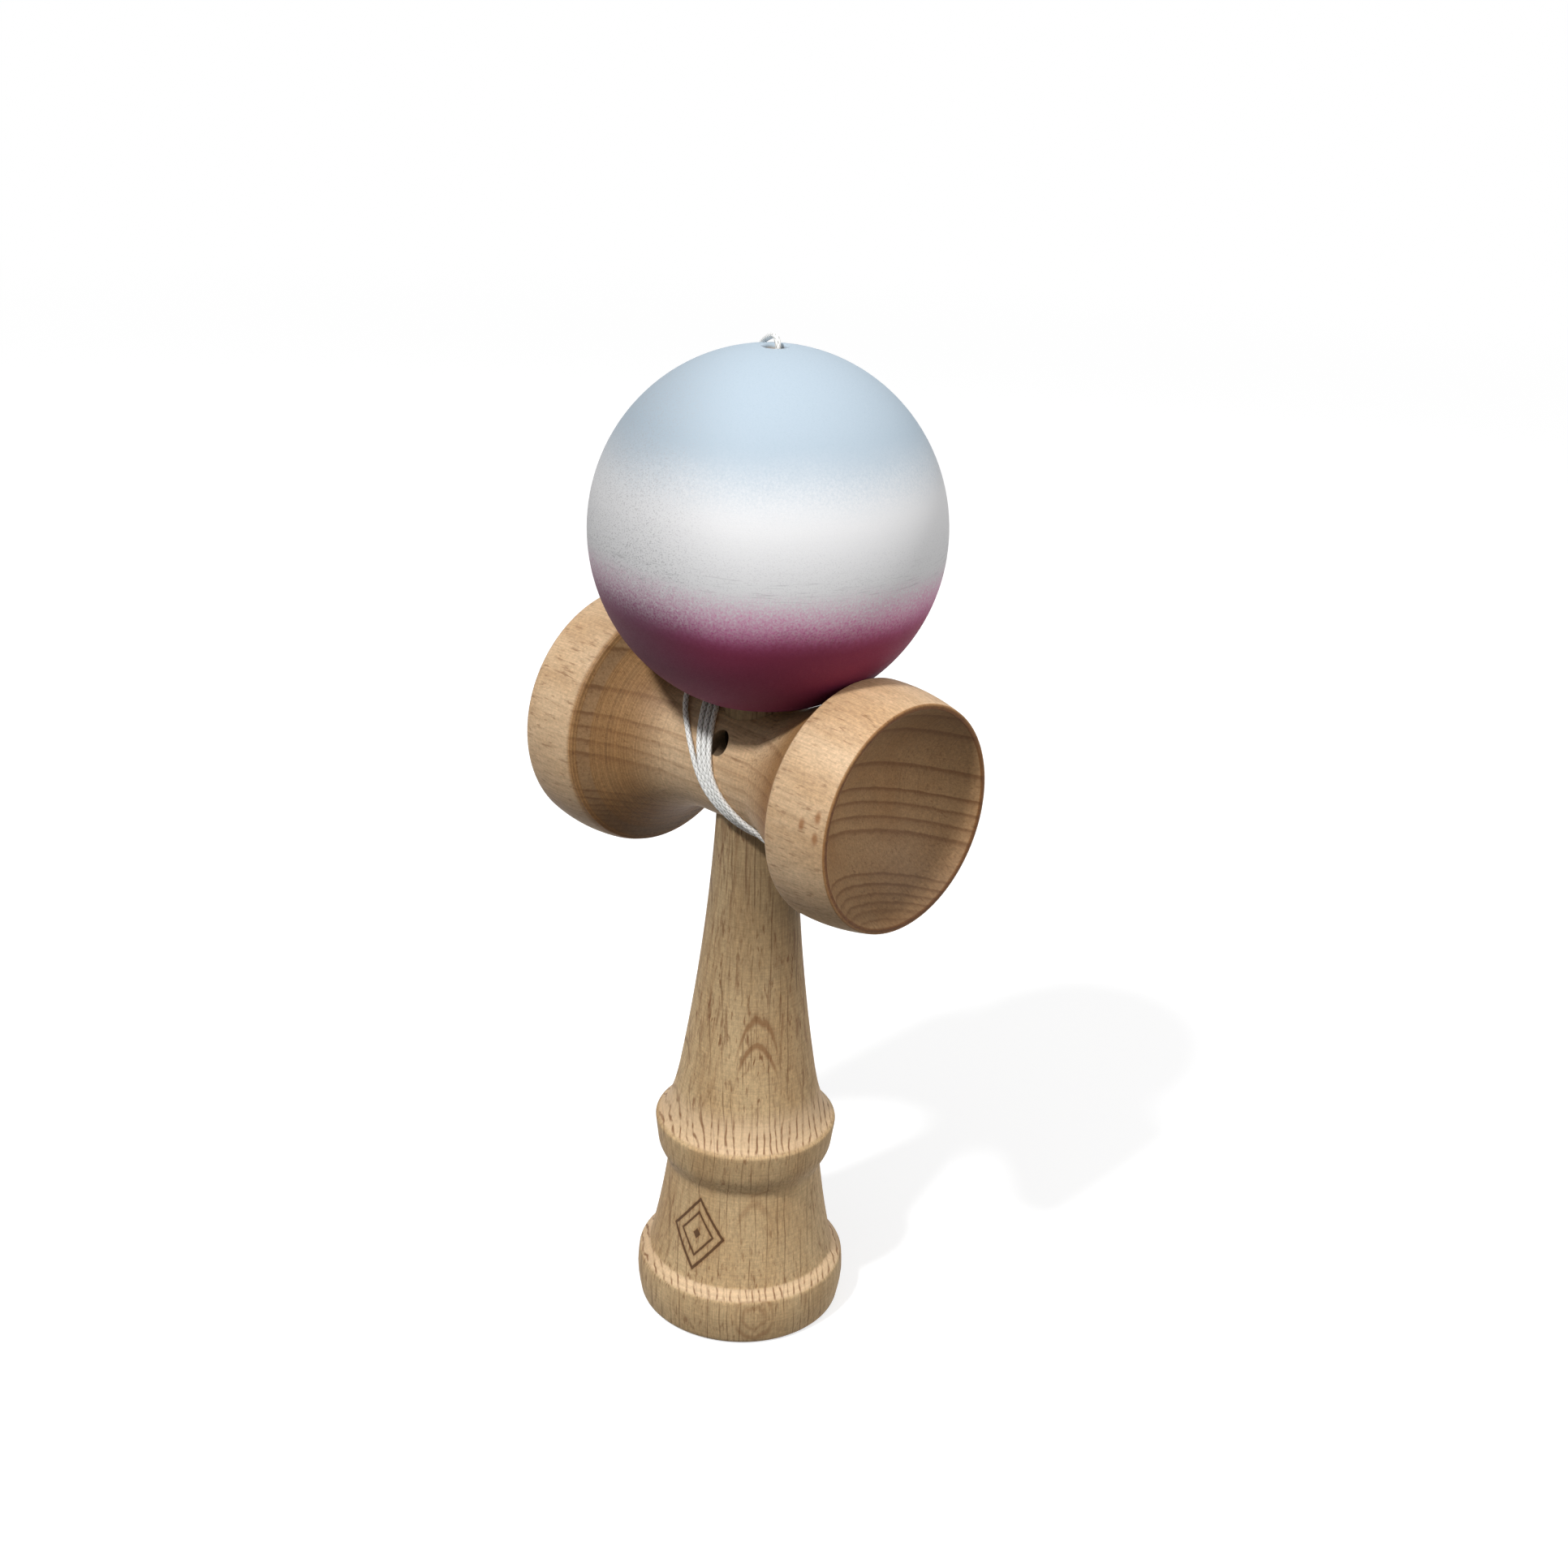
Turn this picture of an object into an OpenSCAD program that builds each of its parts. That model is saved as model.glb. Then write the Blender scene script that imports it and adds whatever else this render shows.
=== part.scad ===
// Kendama: a turned handle with a cross-piece of two cups, and a ball on a wound string.
// Millimetres, +Z up the handle. The origin is the middle of the base's rim.

/* [Ken] */
// Length of the handle from base rim to spike tip
ken_h = 159; // [150:0.5:166]
// Widest diameter of the base
base_d = 39; // [36:0.2:41]
// Diameter of the base at its foot, before the edge is rounded
foot_d = 37.2; // [35:0.2:37.8]
// Height of the base up to its upper edge
base_h = 9.4; // [8:0.2:12]
// Rise of the ledge from the base edge to the neck
ledge_h = 1.7; // [1:0.1:3]
// Diameter of the neck where it leaves the ledge
neck_low_d = 34.4; // [31:0.2:35]
// Diameter of the neck under the collar
neck_top_d = 28.2; // [26:0.2:30]
// Length of the neck between ledge and collar
neck_h = 18.2; // [14:0.2:24]
// Diameter of the collar
collar_d = 33.4; // [31.6:0.2:36]
// Height of the collar's sloped underside
collar_under_h = 3.6; // [2:0.1:5]
// Height of the collar's band
collar_band_h = 6.1; // [4:0.1:9]
// Height of the hollow curve from the collar's edge to the body
collar_sweep_h = 9.8; // [7:0.2:13]
// Diameter of the body above the collar
body_low_d = 24.8; // [22:0.2:28]
// Diameter of the body where the cross-piece sits down on it
body_top_d = 14.4; // [13:0.1:16]
// Diameter of the spike where it leaves the cross-piece
spike_d = 13.2; // [12:0.1:14]
// Diameter of the spike's flat tip, before its edge is rounded
spike_tip_d = 7.6; // [6:0.1:9]
// Rounding of the spike's tip
spike_tip_r = 2; // [1:0.1:2.8]
// Diameter of the base cup's mouth
base_cup_d = 31; // [28:0.2:33]
// Radius of the base cup's hollow
base_cup_r = 20; // [18:0.5:28]
// Diameter of the cross hole for the string's knot
ken_hole_d = 5; // [4.4:0.1:6]

/* [Sarado] */
// Height of the cross-piece's axis above the base rim
sarado_z = 108.8; // [104:0.2:113]
// Diameter of the waist
waist_d = 22.8; // [21:0.2:25]
// Length of the straight part of the waist
waist_w = 14; // [10:0.2:17]
// Reach of the big cup's rim from the ken's axis
big_reach = 36; // [34:0.2:40]
// Diameter of the big cup at its rim
big_rim_d = 44.8; // [44:0.2:47]
// Diameter of the big cup at its shoulder
big_shoulder_d = 45.2; // [43:0.2:47]
// Width of the big cup's outer band
big_band_w = 10.8; // [8:0.2:13]
// Diameter of the big cup's mouth
big_mouth_d = 42.8; // [39:0.2:43]
// Radius of the big cup's hollow
big_hollow_r = 25; // [23:0.5:34]
// Reach of the small cup's rim from the ken's axis
small_reach = 34.4; // [33:0.2:38]
// Diameter of the small cup at its rim
small_rim_d = 39.4; // [38.8:0.2:43]
// Diameter of the small cup at its shoulder
small_shoulder_d = 41.6; // [38:0.2:43]
// Width of the small cup's outer band
small_band_w = 11.8; // [8:0.2:13]
// Diameter of the small cup's mouth
small_mouth_d = 37.8; // [34:0.2:37.8]
// Radius of the small cup's hollow
small_hollow_r = 22; // [20:0.5:32]
// Height of the soft curve across each cup's outer band
band_belly = 0.5; // [0.1:0.1:1]
// Width of the turned step between a shoulder and its neck
shoulder_step = 1.1; // [0.6:0.1:2]
// Depth of the step behind the big cup's shoulder
big_step_h = 0.4; // [0.2:0.1:1.4]
// Depth of the step behind the small cup's shoulder
small_step_h = 1; // [0.2:0.1:1.4]
// Diameter of the string holes in front and behind
sarado_hole_d = 4.2; // [3:0.1:4.2]
// Height of the string holes above the cross-piece's axis
hole_rise = 5.6; // [3:0.1:7]

/* [Tama] */
// Diameter of the ball across the grain
tama_d = 60; // [56:0.5:66]
// Height of the ball along the grain
tama_h = 61; // [57:0.5:67]
// Diameter of the spike bore
bore_d = 19; // [17:0.5:22]
// Diameter of the bore's bevelled mouth
mouth_d = 25; // [23:0.5:27]
// Depth of the bevel at the bore's mouth
mouth_bevel_h = 3.4; // [2:0.2:5]
// Diameter of the bead's chamber above the bore
chamber_d = 11; // [10:0.2:13]
// Length of the cone that joins the bore to the chamber
bore_cone_h = 3; // [2:0.2:4]
// Diameter of the string hole at the crown
crown_hole_d = 4; // [3:0.2:6]
// Bevel of the string hole's edge
crown_bevel = 0.5; // [0.2:0.1:1]

/* [String and bead] */
// Diameter of the string
string_d = 1; // [0.8:0.05:1.2]
// Turns of string that cross the front of the waist
string_turns = 4; // [2:1:4]
// Step from one turn to the next along the cross-piece
turn_step = 2; // [1.9:0.05:2.1]
// Diameter of the bead
bead_d = 8; // [7:0.2:9]
// Height of the bead
bead_h = 6.4; // [5:0.2:7]
// Diameter of the bead's hole
bead_hole_d = 1.8; // [1.6:0.1:2.4]
// Diameter of the knot under the bead
bead_knot_d = 4.2; // [3.4:0.1:5]
// Length of the knot under the bead
bead_knot_h = 3.6; // [3:0.1:4.4]
// Length of the knot in the ken's cross hole
anchor_knot_h = 4.2; // [3:0.1:5]

/* [Hidden] */
$fn = 96;

// Clearances, and the overrun of every cut
seat_clear = 0.05;
tama_clear = 0.15;
bead_clear = 0.3;
knot_clear = 0.3;
face_clear = 0.1;
tip_clear = 1.3;
string_lift = 0.12;
winding_clear = 0.9;
overrun = 1;

// Edge roundings and small bevels of the turned wood
foot_round = 1.2;
edge_round = 0.8;
corner_round = 0.4;
cove_round = 1.4;
collar_round = 0.7;
under_round = 1.8;
rim_round = 0.35;
shoulder_round = 0.5;
knot_round = 1.1;
bead_round = 2.4;

// Steps along a rounded corner, a hollow curve, the ball's outline and the body's curve
corner_steps = 4;
curve_steps = 12;
ball_steps = 44;
body_steps = 9;

// Fullness of the base's band, hollow of the body, and pull of the collar's curve
base_belly_share = 0.62;
edge_share = 0.985;
body_hollow_share = 0.145;
collar_pull_shares = [0.38, 0.17];

// Levels and radii of the ken, from the base upwards
ledge_z = base_h + ledge_h;
neck_z = ledge_z + neck_h;
band_z = neck_z + collar_under_h;
collar_z = band_z + collar_band_h;
body_z = collar_z + collar_sweep_h;
seat_z = sarado_z - waist_d / 2;
spike_z = sarado_z + waist_d / 2;
base_cup_z = -sqrt(pow(base_cup_r, 2) - pow(base_cup_d / 2, 2));

// Ends of the cross-piece's necks
big_neck_x = big_reach - big_band_w - shoulder_step;
big_neck_r = big_shoulder_d / 2 - big_step_h;
small_neck_x = small_reach - small_band_w - shoulder_step;
small_neck_r = small_shoulder_d / 2 - small_step_h;
big_curve_r = neck_curve(big_neck_x, big_neck_r);
small_curve_r = neck_curve(small_neck_x, small_neck_r);
hole_z = sarado_z + hole_rise;

// The winding leans from the big cup's side on top to the small cup's side below
top_x = spike_d / 2 + string_d / 2 + winding_clear;
bottom_x = body_top_d / 2 + string_d / 2 + winding_clear;
lean = (top_x + bottom_x + (string_turns - 1.5) * turn_step) / 2;
front_x = lean - top_x + turn_step / 4;
string_h = string_d / 2 + string_lift;
wind_start = 180;
wind_end = 360 * string_turns + 98;
ring_angle = 15;
probe_angle = 4;

// Height of the ball's middle: it sits just clear of both shoulders, their steps and the last turn
last_top_x = top_x + (string_turns - 1) * turn_step;
last_top_r = neck_r(-last_top_x) + string_h + string_d / 2;
tama_z = sarado_z + tama_clear + max(
    ball_over(small_reach - small_band_w, small_shoulder_d / 2),
    ball_over(small_neck_x, small_neck_r),
    ball_over(big_reach - big_band_w, big_shoulder_d / 2),
    ball_over(big_neck_x, big_neck_r),
    ball_over(last_top_x, last_top_r));
tama_top = tama_z + ball_z(crown_hole_d / 2 + crown_bevel);
mouth_z = tama_z - ball_z(mouth_d / 2);

// Levels inside the ball, from the spike's tip upwards
knot_z = ken_h + tip_clear;
bead_z = knot_z + bead_knot_h + face_clear;
roof_z = bead_z + bead_h + bead_clear;
chamber_z = ken_h + tip_clear;
string_top = tama_top - string_d;
anchor_y = body_top_d / 2 - knot_clear;

// String from the back hole down to the first turn, measured from the cross-piece's axis
tail_points = [[0, 9.6, hole_rise], [0, 10.4, 5.5], [0.5, 11.4, 4.6], [1.5, 12.1, 2.8]];
// String from the last turn up behind the ball and over its crown, and a direction square to its plane
lead_side = [0.5, 0.87, 0];
lead_points = [
    [-14, 3.5, 122], [-14.5, 7, 122], [-14.5, 10, 122.7], [-15, 13, 124], [-16, 16, 126.5], [-17.5, 19, 130],
    [-18.5, 21, 134], [-19.5, 22, 138.5], [-20.5, 22.5, 143], [-21.5, 22.5, 147.5],
    [-22.5, 21.5, 152], [-22.5, 20.5, 156.5], [-22.5, 19, 161], [-22, 17, 165],
    [-20.5, 14.5, 169], [-18.5, 12, 172.5], [-16, 9.5, 175.5], [-13.5, 6.5, 177.8], [-9.5, 4, 179.8],
    [-6, 2, 181], [-3.5, 1, 181.6], [-1.8, 0.3, 181.8], [-0.6, 0, 181.3]];

// Plane geometry
function unit(v) = v / norm(v);
function mix(a, b, t) = a + (b - a) * t;
function arc(c, r, from, to, n) = [for (i = [0:n]) let (a = mix(from, to, i / n)) c + r * [cos(a), sin(a)]];
function bend(a, m, b, n) = [for (i = [0:n]) mix(mix(a, m, i / n), mix(m, b, i / n), i / n)];
function half_turn(a) = a > 180 ? a - 360 : a < -180 ? a + 360 : a;
function corner(a, b, c, r) =
    let (u = unit(a - b), v = unit(c - b), half = acos(u * v) / 2, o = b + unit(u + v) * r / sin(half),
        s = b + u * r / tan(half) - o, e = b + v * r / tan(half) - o, from = atan2(s[1], s[0]))
    arc(o, r, from, from + half_turn(atan2(e[1], e[0]) - from), corner_steps);
// Outline whose points are [x, y, rounding]
function rounded(p) = [for (i = [0:len(p) - 1])
    let (a = p[(i + len(p) - 1) % len(p)], b = p[i], c = p[(i + 1) % len(p)])
    each b[2] == 0 ? [[b[0], b[1]]] : corner([a[0], a[1]], [b[0], b[1]], [c[0], c[1]], b[2])];
function sharp(p) = [for (q = p) [q[0], q[1], 0]];

// Neck of a cup: an arc that leaves the straight waist and ends at the shoulder's step
function neck_curve(x, r) =
    (pow(x - waist_w / 2, 2) + pow(r - waist_d / 2, 2)) / (2 * (r - waist_d / 2));
function curve_at(x) = x < 0 ? big_curve_r : small_curve_r;
function past_waist(x) = max(0, abs(x) - waist_w / 2);
function neck_r(x) = waist_d / 2 + curve_at(x) - sqrt(pow(curve_at(x), 2) - pow(past_waist(x), 2));
function neck_tilt(x) = -sign(x) * asin(past_waist(x) / curve_at(x));
function ball_z(r) = tama_h / 2 * sqrt(1 - pow(2 * r / tama_d, 2));
function ball_over(x, r) = r + ball_z(x);
function body_r(t) =
    mix(body_low_d, body_top_d, t) / 2 - body_hollow_share * (body_low_d - body_top_d) * 2 * t * (1 - t);
function seat_r(z) = mix(body_top_d, spike_d, (z - seat_z) / (spike_z - seat_z)) / 2;

// Turns of the string on the waist and necks
function turn_x(a) = front_x - turn_step * (a / 360 - 1) - lean * sin(a);
function turn_point(a) =
    let (x = turn_x(a), k = neck_tilt(x), r = neck_r(x) + string_h * cos(k))
    [x + string_h * sin(k), -r * cos(a), r * sin(a)];
function turn_out(a) = [0, -cos(a), sin(a)];
winding_angles = [for (a = [wind_start:ring_angle:wind_end]) a];
probe_angles = [for (a = [wind_start:probe_angle:wind_end]) a];
probe_points = [for (a = probe_angles) turn_point(a)];
half_ring = floor(180 / probe_angle);
least_gap = min([for (i = [0:len(probe_points) - 1], j = [i + half_ring:1:len(probe_points) - 1])
    norm(probe_points[i] - probe_points[j])]) - string_d;
echo(least_gap_between_turns = least_gap);
winding_end = turn_point(winding_angles[len(winding_angles) - 1]);
winding_way = unit(winding_end - turn_point(winding_angles[len(winding_angles) - 1] - ring_angle / 2));

// Tube swept along points; outs gives a direction beside the tube at each point
function way(p, i) = unit(p[min(i + 1, len(p) - 1)] - p[max(i - 1, 0)]);
function ring(p, i, out, r, sides) =
    let (t = way(p, i), b = unit(cross(t, out)), a = cross(b, t))
    [for (k = [0:sides - 1]) p[i] + r * (a * cos(360 * k / sides) + b * sin(360 * k / sides))];
module tube(p, outs, r, sides) {
    n = len(p);
    points = [for (i = [0:n - 1]) each ring(p, i, outs[i], r, sides)];
    walls = [for (i = [0:n - 2], k = [0:sides - 1])
        let (a = i * sides + k, b = i * sides + (k + 1) % sides)
        each [[a, a + sides, b], [b, a + sides, b + sides]]];
    first = [for (k = [1:sides - 2]) [0, k, k + 1]];
    last = [for (k = [1:sides - 2]) [for (v = [k + 1, k, 0]) (n - 1) * sides + v]];
    polyhedron(points = points, faces = concat(walls, first, last));
}

module ken_outline() {
    body = [for (i = [0:body_steps]) [body_r(i / body_steps), mix(body_z, seat_z, i / body_steps)]];
    edge_r = collar_d / 2 - collar_round;
    sweep = bend([body[0][0], body_z],
        [mix(body_low_d / 2, edge_r, collar_pull_shares[0]), mix(collar_z, body_z, collar_pull_shares[1])],
        [edge_r, collar_z], curve_steps);
    cup_top = asin(-base_cup_z / base_cup_r);
    cup = arc([0, base_cup_z], base_cup_r, 90, cup_top, curve_steps);
    polygon(rounded(concat(sharp(cup), [
        [foot_d / 2, 0, foot_round],
        [base_d / 2, base_belly_share * base_h, 0],
        [base_d / 2 * edge_share, base_h, edge_round],
        [neck_low_d / 2, ledge_z, corner_round],
        [neck_top_d / 2, neck_z, cove_round],
        [collar_d / 2 - collar_round, band_z, under_round],
        [collar_d / 2, collar_z - collar_round, collar_round]],
        sharp([for (i = [curve_steps:-1:1]) sweep[i]]), sharp(body), [
        [spike_d / 2, spike_z, 0],
        [spike_tip_d / 2, ken_h, spike_tip_r],
        [0, ken_h, 0]])));
}

// Hole from front to back for the string
module cross_hole(d, length) {
    translate([0, 0, hole_z]) rotate([90, 0, 0]) cylinder(d = d, h = length, center = true);
}

module ken() {
    color("#c79a66") difference() {
        rotate_extrude() ken_outline();
        cross_hole(ken_hole_d, body_low_d);
    }
}

// Half of the cross-piece's outline, from the waist to the middle of a cup's hollow
function cup_half(reach, rim_d, shoulder_d, band_w, mouth_w, hollow_r, neck_x, curve_r) =
    let (c = reach + sqrt(pow(hollow_r, 2) - pow(mouth_w / 2, 2)), turn = asin(mouth_w / 2 / hollow_r),
        tilt = asin((neck_x - waist_w / 2) / curve_r),
        shoulder = [reach - band_w, shoulder_d / 2], rim = [reach, rim_d / 2],
        band = bend(shoulder, (shoulder + rim) / 2 + [0, 2 * band_belly], rim, corner_steps))
    rounded(concat([[0, 0, 0], [0, waist_d / 2, 0]],
        sharp(arc([waist_w / 2, waist_d / 2 + curve_r], curve_r, -90, tilt - 90, curve_steps)),
        [[shoulder[0], shoulder[1], shoulder_round]],
        sharp([for (i = [1:corner_steps - 1]) band[i]]),
        [[rim[0], rim[1], rim_round]],
        sharp(arc([c, 0], hollow_r, 180 - turn, 180, curve_steps))));

// An outline of [along, radius] points turned about +Z
module turned(p) {
    rotate_extrude() polygon([for (q = p) [q[1], q[0]]]);
}

module sarado() {
    color("#d0a570") difference() {
        translate([0, 0, sarado_z]) rotate([0, 90, 0]) {
            turned(cup_half(small_reach, small_rim_d, small_shoulder_d, small_band_w,
                small_mouth_d, small_hollow_r, small_neck_x, small_curve_r));
            mirror([0, 0, 1]) turned(cup_half(big_reach, big_rim_d, big_shoulder_d, big_band_w,
                big_mouth_d, big_hollow_r, big_neck_x, big_curve_r));
        }
        translate([0, 0, seat_z - overrun]) cylinder(h = waist_d + 2 * overrun,
            r1 = seat_r(seat_z - overrun) + seat_clear, r2 = seat_r(spike_z + overrun) + seat_clear);
        cross_hole(sarado_hole_d, big_rim_d);
    }
}

module tama_outline() {
    low = -acos(mouth_d / tama_d);
    high = acos((crown_hole_d + 2 * crown_bevel) / tama_d);
    skin = [for (i = [0:ball_steps]) let (a = mix(low, high, i / ball_steps))
        [tama_d / 2 * cos(a), tama_z + tama_h / 2 * sin(a)]];
    polygon(concat(skin, [
        [crown_hole_d / 2, tama_top - crown_bevel],
        [crown_hole_d / 2, roof_z],
        [chamber_d / 2, roof_z],
        [chamber_d / 2, chamber_z],
        [bore_d / 2, chamber_z - bore_cone_h],
        [bore_d / 2, mouth_z + mouth_bevel_h]]));
}

module tama() {
    color("#e9e6ea") rotate_extrude() tama_outline();
}

module string_bead() {
    color("#b98a55") translate([0, 0, bead_z]) rotate_extrude() polygon(rounded([
        [bead_hole_d / 2, 0, 0],
        [bead_d / 2, 0, bead_round],
        [bead_d / 2, bead_h, bead_round],
        [bead_hole_d / 2, bead_h, 0]]));
}

// A stopper knot as a barrel with flat ends
module knot(d, h) {
    color("#efefec") rotate_extrude() polygon(rounded([
        [0, 0, 0], [d / 2, 0, knot_round], [d / 2, h, knot_round], [0, h, 0]]));
}

module bead_knot() {
    translate([0, 0, knot_z]) knot(bead_knot_d, bead_knot_h);
}

module anchor_knot() {
    translate([0, anchor_y, hole_z]) rotate([90, 0, 0]) knot(ken_hole_d - 2 * knot_clear, anchor_knot_h);
}

module string_winding() {
    tail = concat([[0, anchor_y, hole_rise], [0, anchor_y + string_d, hole_rise]], tail_points);
    turns = [for (a = winding_angles) turn_point(a)];
    outs = concat([for (q = tail) [1, 0, 0]], [for (a = winding_angles) turn_out(a)]);
    color("#f2f2ef") translate([0, 0, sarado_z]) tube(concat(tail, turns), outs, string_d / 2, 6);
}

module string_lead() {
    start = winding_end + [0, 0, sarado_z];
    route = concat([start, start + winding_way * string_d], lead_points,
        [[0, 0, string_top + string_d], [0, 0, string_top]]);
    color("#f2f2ef") tube(route, [for (q = route) lead_side], string_d / 2, 8);
}

module string_in_tama() {
    color("#f2f2ef") translate([0, 0, knot_z + bead_knot_h])
        cylinder(d = string_d, h = string_top - knot_z - bead_knot_h);
}

ken();
sarado();
tama();
string_bead();
bead_knot();
anchor_knot();
string_winding();
string_lead();
string_in_tama();
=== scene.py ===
import math
import bpy
import bmesh
from mathutils import Matrix, Vector


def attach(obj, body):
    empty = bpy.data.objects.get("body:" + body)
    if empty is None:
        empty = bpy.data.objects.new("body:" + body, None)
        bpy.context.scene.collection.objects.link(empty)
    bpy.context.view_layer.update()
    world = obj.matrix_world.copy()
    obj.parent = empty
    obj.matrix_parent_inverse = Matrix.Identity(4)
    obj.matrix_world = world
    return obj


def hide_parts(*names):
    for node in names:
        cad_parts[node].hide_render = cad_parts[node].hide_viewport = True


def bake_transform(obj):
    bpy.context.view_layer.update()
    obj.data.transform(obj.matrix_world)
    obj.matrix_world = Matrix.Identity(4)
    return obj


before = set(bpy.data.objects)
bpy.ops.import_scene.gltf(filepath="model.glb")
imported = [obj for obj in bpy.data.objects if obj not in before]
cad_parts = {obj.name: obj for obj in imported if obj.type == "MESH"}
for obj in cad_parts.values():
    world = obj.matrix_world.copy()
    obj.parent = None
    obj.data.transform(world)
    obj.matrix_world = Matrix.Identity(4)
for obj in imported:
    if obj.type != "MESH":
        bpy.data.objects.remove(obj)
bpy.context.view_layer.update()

mm = 0.001
print("frame loaded:", len(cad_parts), "nodes")


# hand tools

toolFacts = {"steps": 144, "weld": 2e-6, "nearAlong": 4e-6, "nearOut": 6e-6, "drillHalf": 16, "drillSteps": 48}


def pickOnly(piece):
    bpy.ops.object.select_all(action="DESELECT")
    piece.select_set(True)
    bpy.context.view_layer.objects.active = piece


def turnOnLathe(name, outline, axis, centre=(0, 0, 0), steps=toolFacts["steps"]):
    # one vertex, extruded from point to point along the outline, then spun about the axis
    bpy.ops.mesh.primitive_plane_add(size=0.01, location=(0, 0, 0))
    piece = bpy.context.object
    piece.name = piece.data.name = name
    bpy.ops.object.mode_set(mode="EDIT")
    bpy.ops.mesh.select_mode(type="VERT")
    bpy.ops.mesh.select_all(action="SELECT")
    bpy.ops.mesh.merge(type="CENTER")
    at = Vector((0, 0, 0))
    for i, (along, out) in enumerate(outline):
        spot = {"X": (along, 0, out), "Y": (out, along, 0), "Z": (out, 0, along)}[axis]
        spot = Vector(spot) * mm + Vector(centre) * mm
        if i == 0:
            bpy.ops.transform.translate(value=spot - at)
        else:
            bpy.ops.mesh.extrude_vertices_move(TRANSFORM_OT_translate={"value": spot - at})
        at = spot
    bpy.ops.mesh.select_all(action="SELECT")
    way = {"X": (1, 0, 0), "Y": (0, 1, 0), "Z": (0, 0, 1)}[axis]
    bpy.ops.mesh.spin(steps=steps, angle=2 * math.pi, center=Vector(centre) * mm, axis=way)
    bpy.ops.mesh.select_all(action="SELECT")
    bpy.ops.mesh.remove_doubles(threshold=toolFacts["weld"])
    bpy.ops.mesh.normals_make_consistent(inside=False)
    bpy.ops.object.mode_set(mode="OBJECT")
    return piece


def softenRing(piece, axis, along, out, width, centre=(0, 0, 0), segments=4):
    # bevel of one turned edge, picked by its place on the outline
    pickOnly(piece)
    bpy.ops.object.mode_set(mode="EDIT")
    bpy.ops.mesh.select_mode(type="EDGE")
    bpy.ops.mesh.select_all(action="DESELECT")
    shape = bmesh.from_edit_mesh(piece.data)
    k = "XYZ".index(axis)
    mid = Vector(centre) * mm
    for edge in shape.edges:
        near = True
        for v in edge.verts:
            p = v.co - mid
            reach = math.hypot(p[(k + 1) % 3], p[(k + 2) % 3])
            near = near and abs(p[k] - along * mm) < toolFacts["nearAlong"]
            near = near and abs(reach - out * mm) < toolFacts["nearOut"]
        if near:
            edge.select_set(True)
    bmesh.update_edit_mesh(piece.data)
    bpy.ops.mesh.bevel(offset_type="OFFSET", offset=width * mm, segments=segments, profile=0.5, affect="EDGES")
    bpy.ops.object.mode_set(mode="OBJECT")


def cutWith(piece, cutter):
    pickOnly(piece)
    cut = piece.modifiers.new("cut", "BOOLEAN")
    cut.operation = "DIFFERENCE"
    cut.solver = "EXACT"
    cut.object = cutter
    bpy.ops.object.modifier_apply(modifier="cut")
    bpy.data.objects.remove(cutter)


def drillAcross(piece, radius, height):
    # a round hole along Y
    half = toolFacts["drillHalf"]
    outline = [(-half, 0), (-half, radius), (half, radius), (half, 0)]
    cutWith(piece, turnOnLathe("drill", outline, "Y", (0, 0, height), toolFacts["drillSteps"]))


def smoothTurned(piece, angle=32):
    pickOnly(piece)
    bpy.ops.object.shade_smooth_by_angle(angle=math.radians(angle))


def arcPoints(along, out, radius, start, stop, count):
    # points of an arc in the outline's plane, angles in degrees from the lathe's axis
    return [(along + radius * math.cos(math.radians(start + (stop - start) * i / count)),
             out + radius * math.sin(math.radians(start + (stop - start) * i / count))) for i in range(count + 1)]


def bendPoints(a, m, b, count):
    # points of a bend from a to b that leans to m
    return [tuple(a[k] * (1 - t) ** 2 + 2 * m[k] * t * (1 - t) + b[k] * t * t for k in (0, 1))
            for t in [i / count for i in range(count + 1)]]


def tubeAlong(name, points, radius, sides=3):
    # a bevelled curve through the points, made a mesh
    curve = bpy.data.curves.new(name, "CURVE")
    curve.dimensions = "3D"
    line = curve.splines.new("POLY")
    line.points.add(len(points) - 1)
    for spot, p in zip(line.points, points):
        spot.co = (p[0] * mm, p[1] * mm, p[2] * mm, 1)
    curve.bevel_depth = radius * mm
    curve.bevel_resolution = sides
    curve.use_fill_caps = True
    curve.twist_mode = "MINIMUM"
    piece = bpy.data.objects.new(name, curve)
    bpy.context.scene.collection.objects.link(piece)
    pickOnly(piece)
    bpy.ops.object.convert(target="MESH")
    piece = bpy.context.object
    piece.name = piece.data.name = name
    span = sum((Vector(b) - Vector(a)).length for a, b in zip(points, points[1:]))
    for spot in piece.data.uv_layers[0].data:
        spot.uv[0] *= span  # millimetres along the string, so that the braid has one scale
    return piece


def evenly(points, step):
    # the same line with points at an even spacing, for an even braid
    out = [Vector(points[0])]
    left = step
    for a, b in zip(points, points[1:]):
        a, b = Vector(a), Vector(b)
        span = (b - a).length
        done = 0
        while span - done >= left:
            done += left
            out.append(a + (b - a) * (done / span))
            left = step
        left -= span - done
    if (out[-1] - Vector(points[-1])).length > step * 0.3:
        out.append(Vector(points[-1]))
    return out


def easing(a, b, c, d, t):
    # Catmull-Rom value between b and c
    return 0.5 * (2 * b + (c - a) * t + (2 * a - 5 * b + 4 * c - d) * t * t + (3 * b - a - 3 * c + d) * t ** 3)


def flowing(points, count):
    # smooth line through the points
    p = [Vector(q) for q in points]
    p = [p[0] * 2 - p[1]] + p + [p[-1] * 2 - p[-2]]
    out = []
    for a, b, c, d in zip(p, p[1:], p[2:], p[3:]):
        out += [easing(a, b, c, d, i / count) for i in range(count)]
    return out + [p[-2]]


# camera

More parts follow.
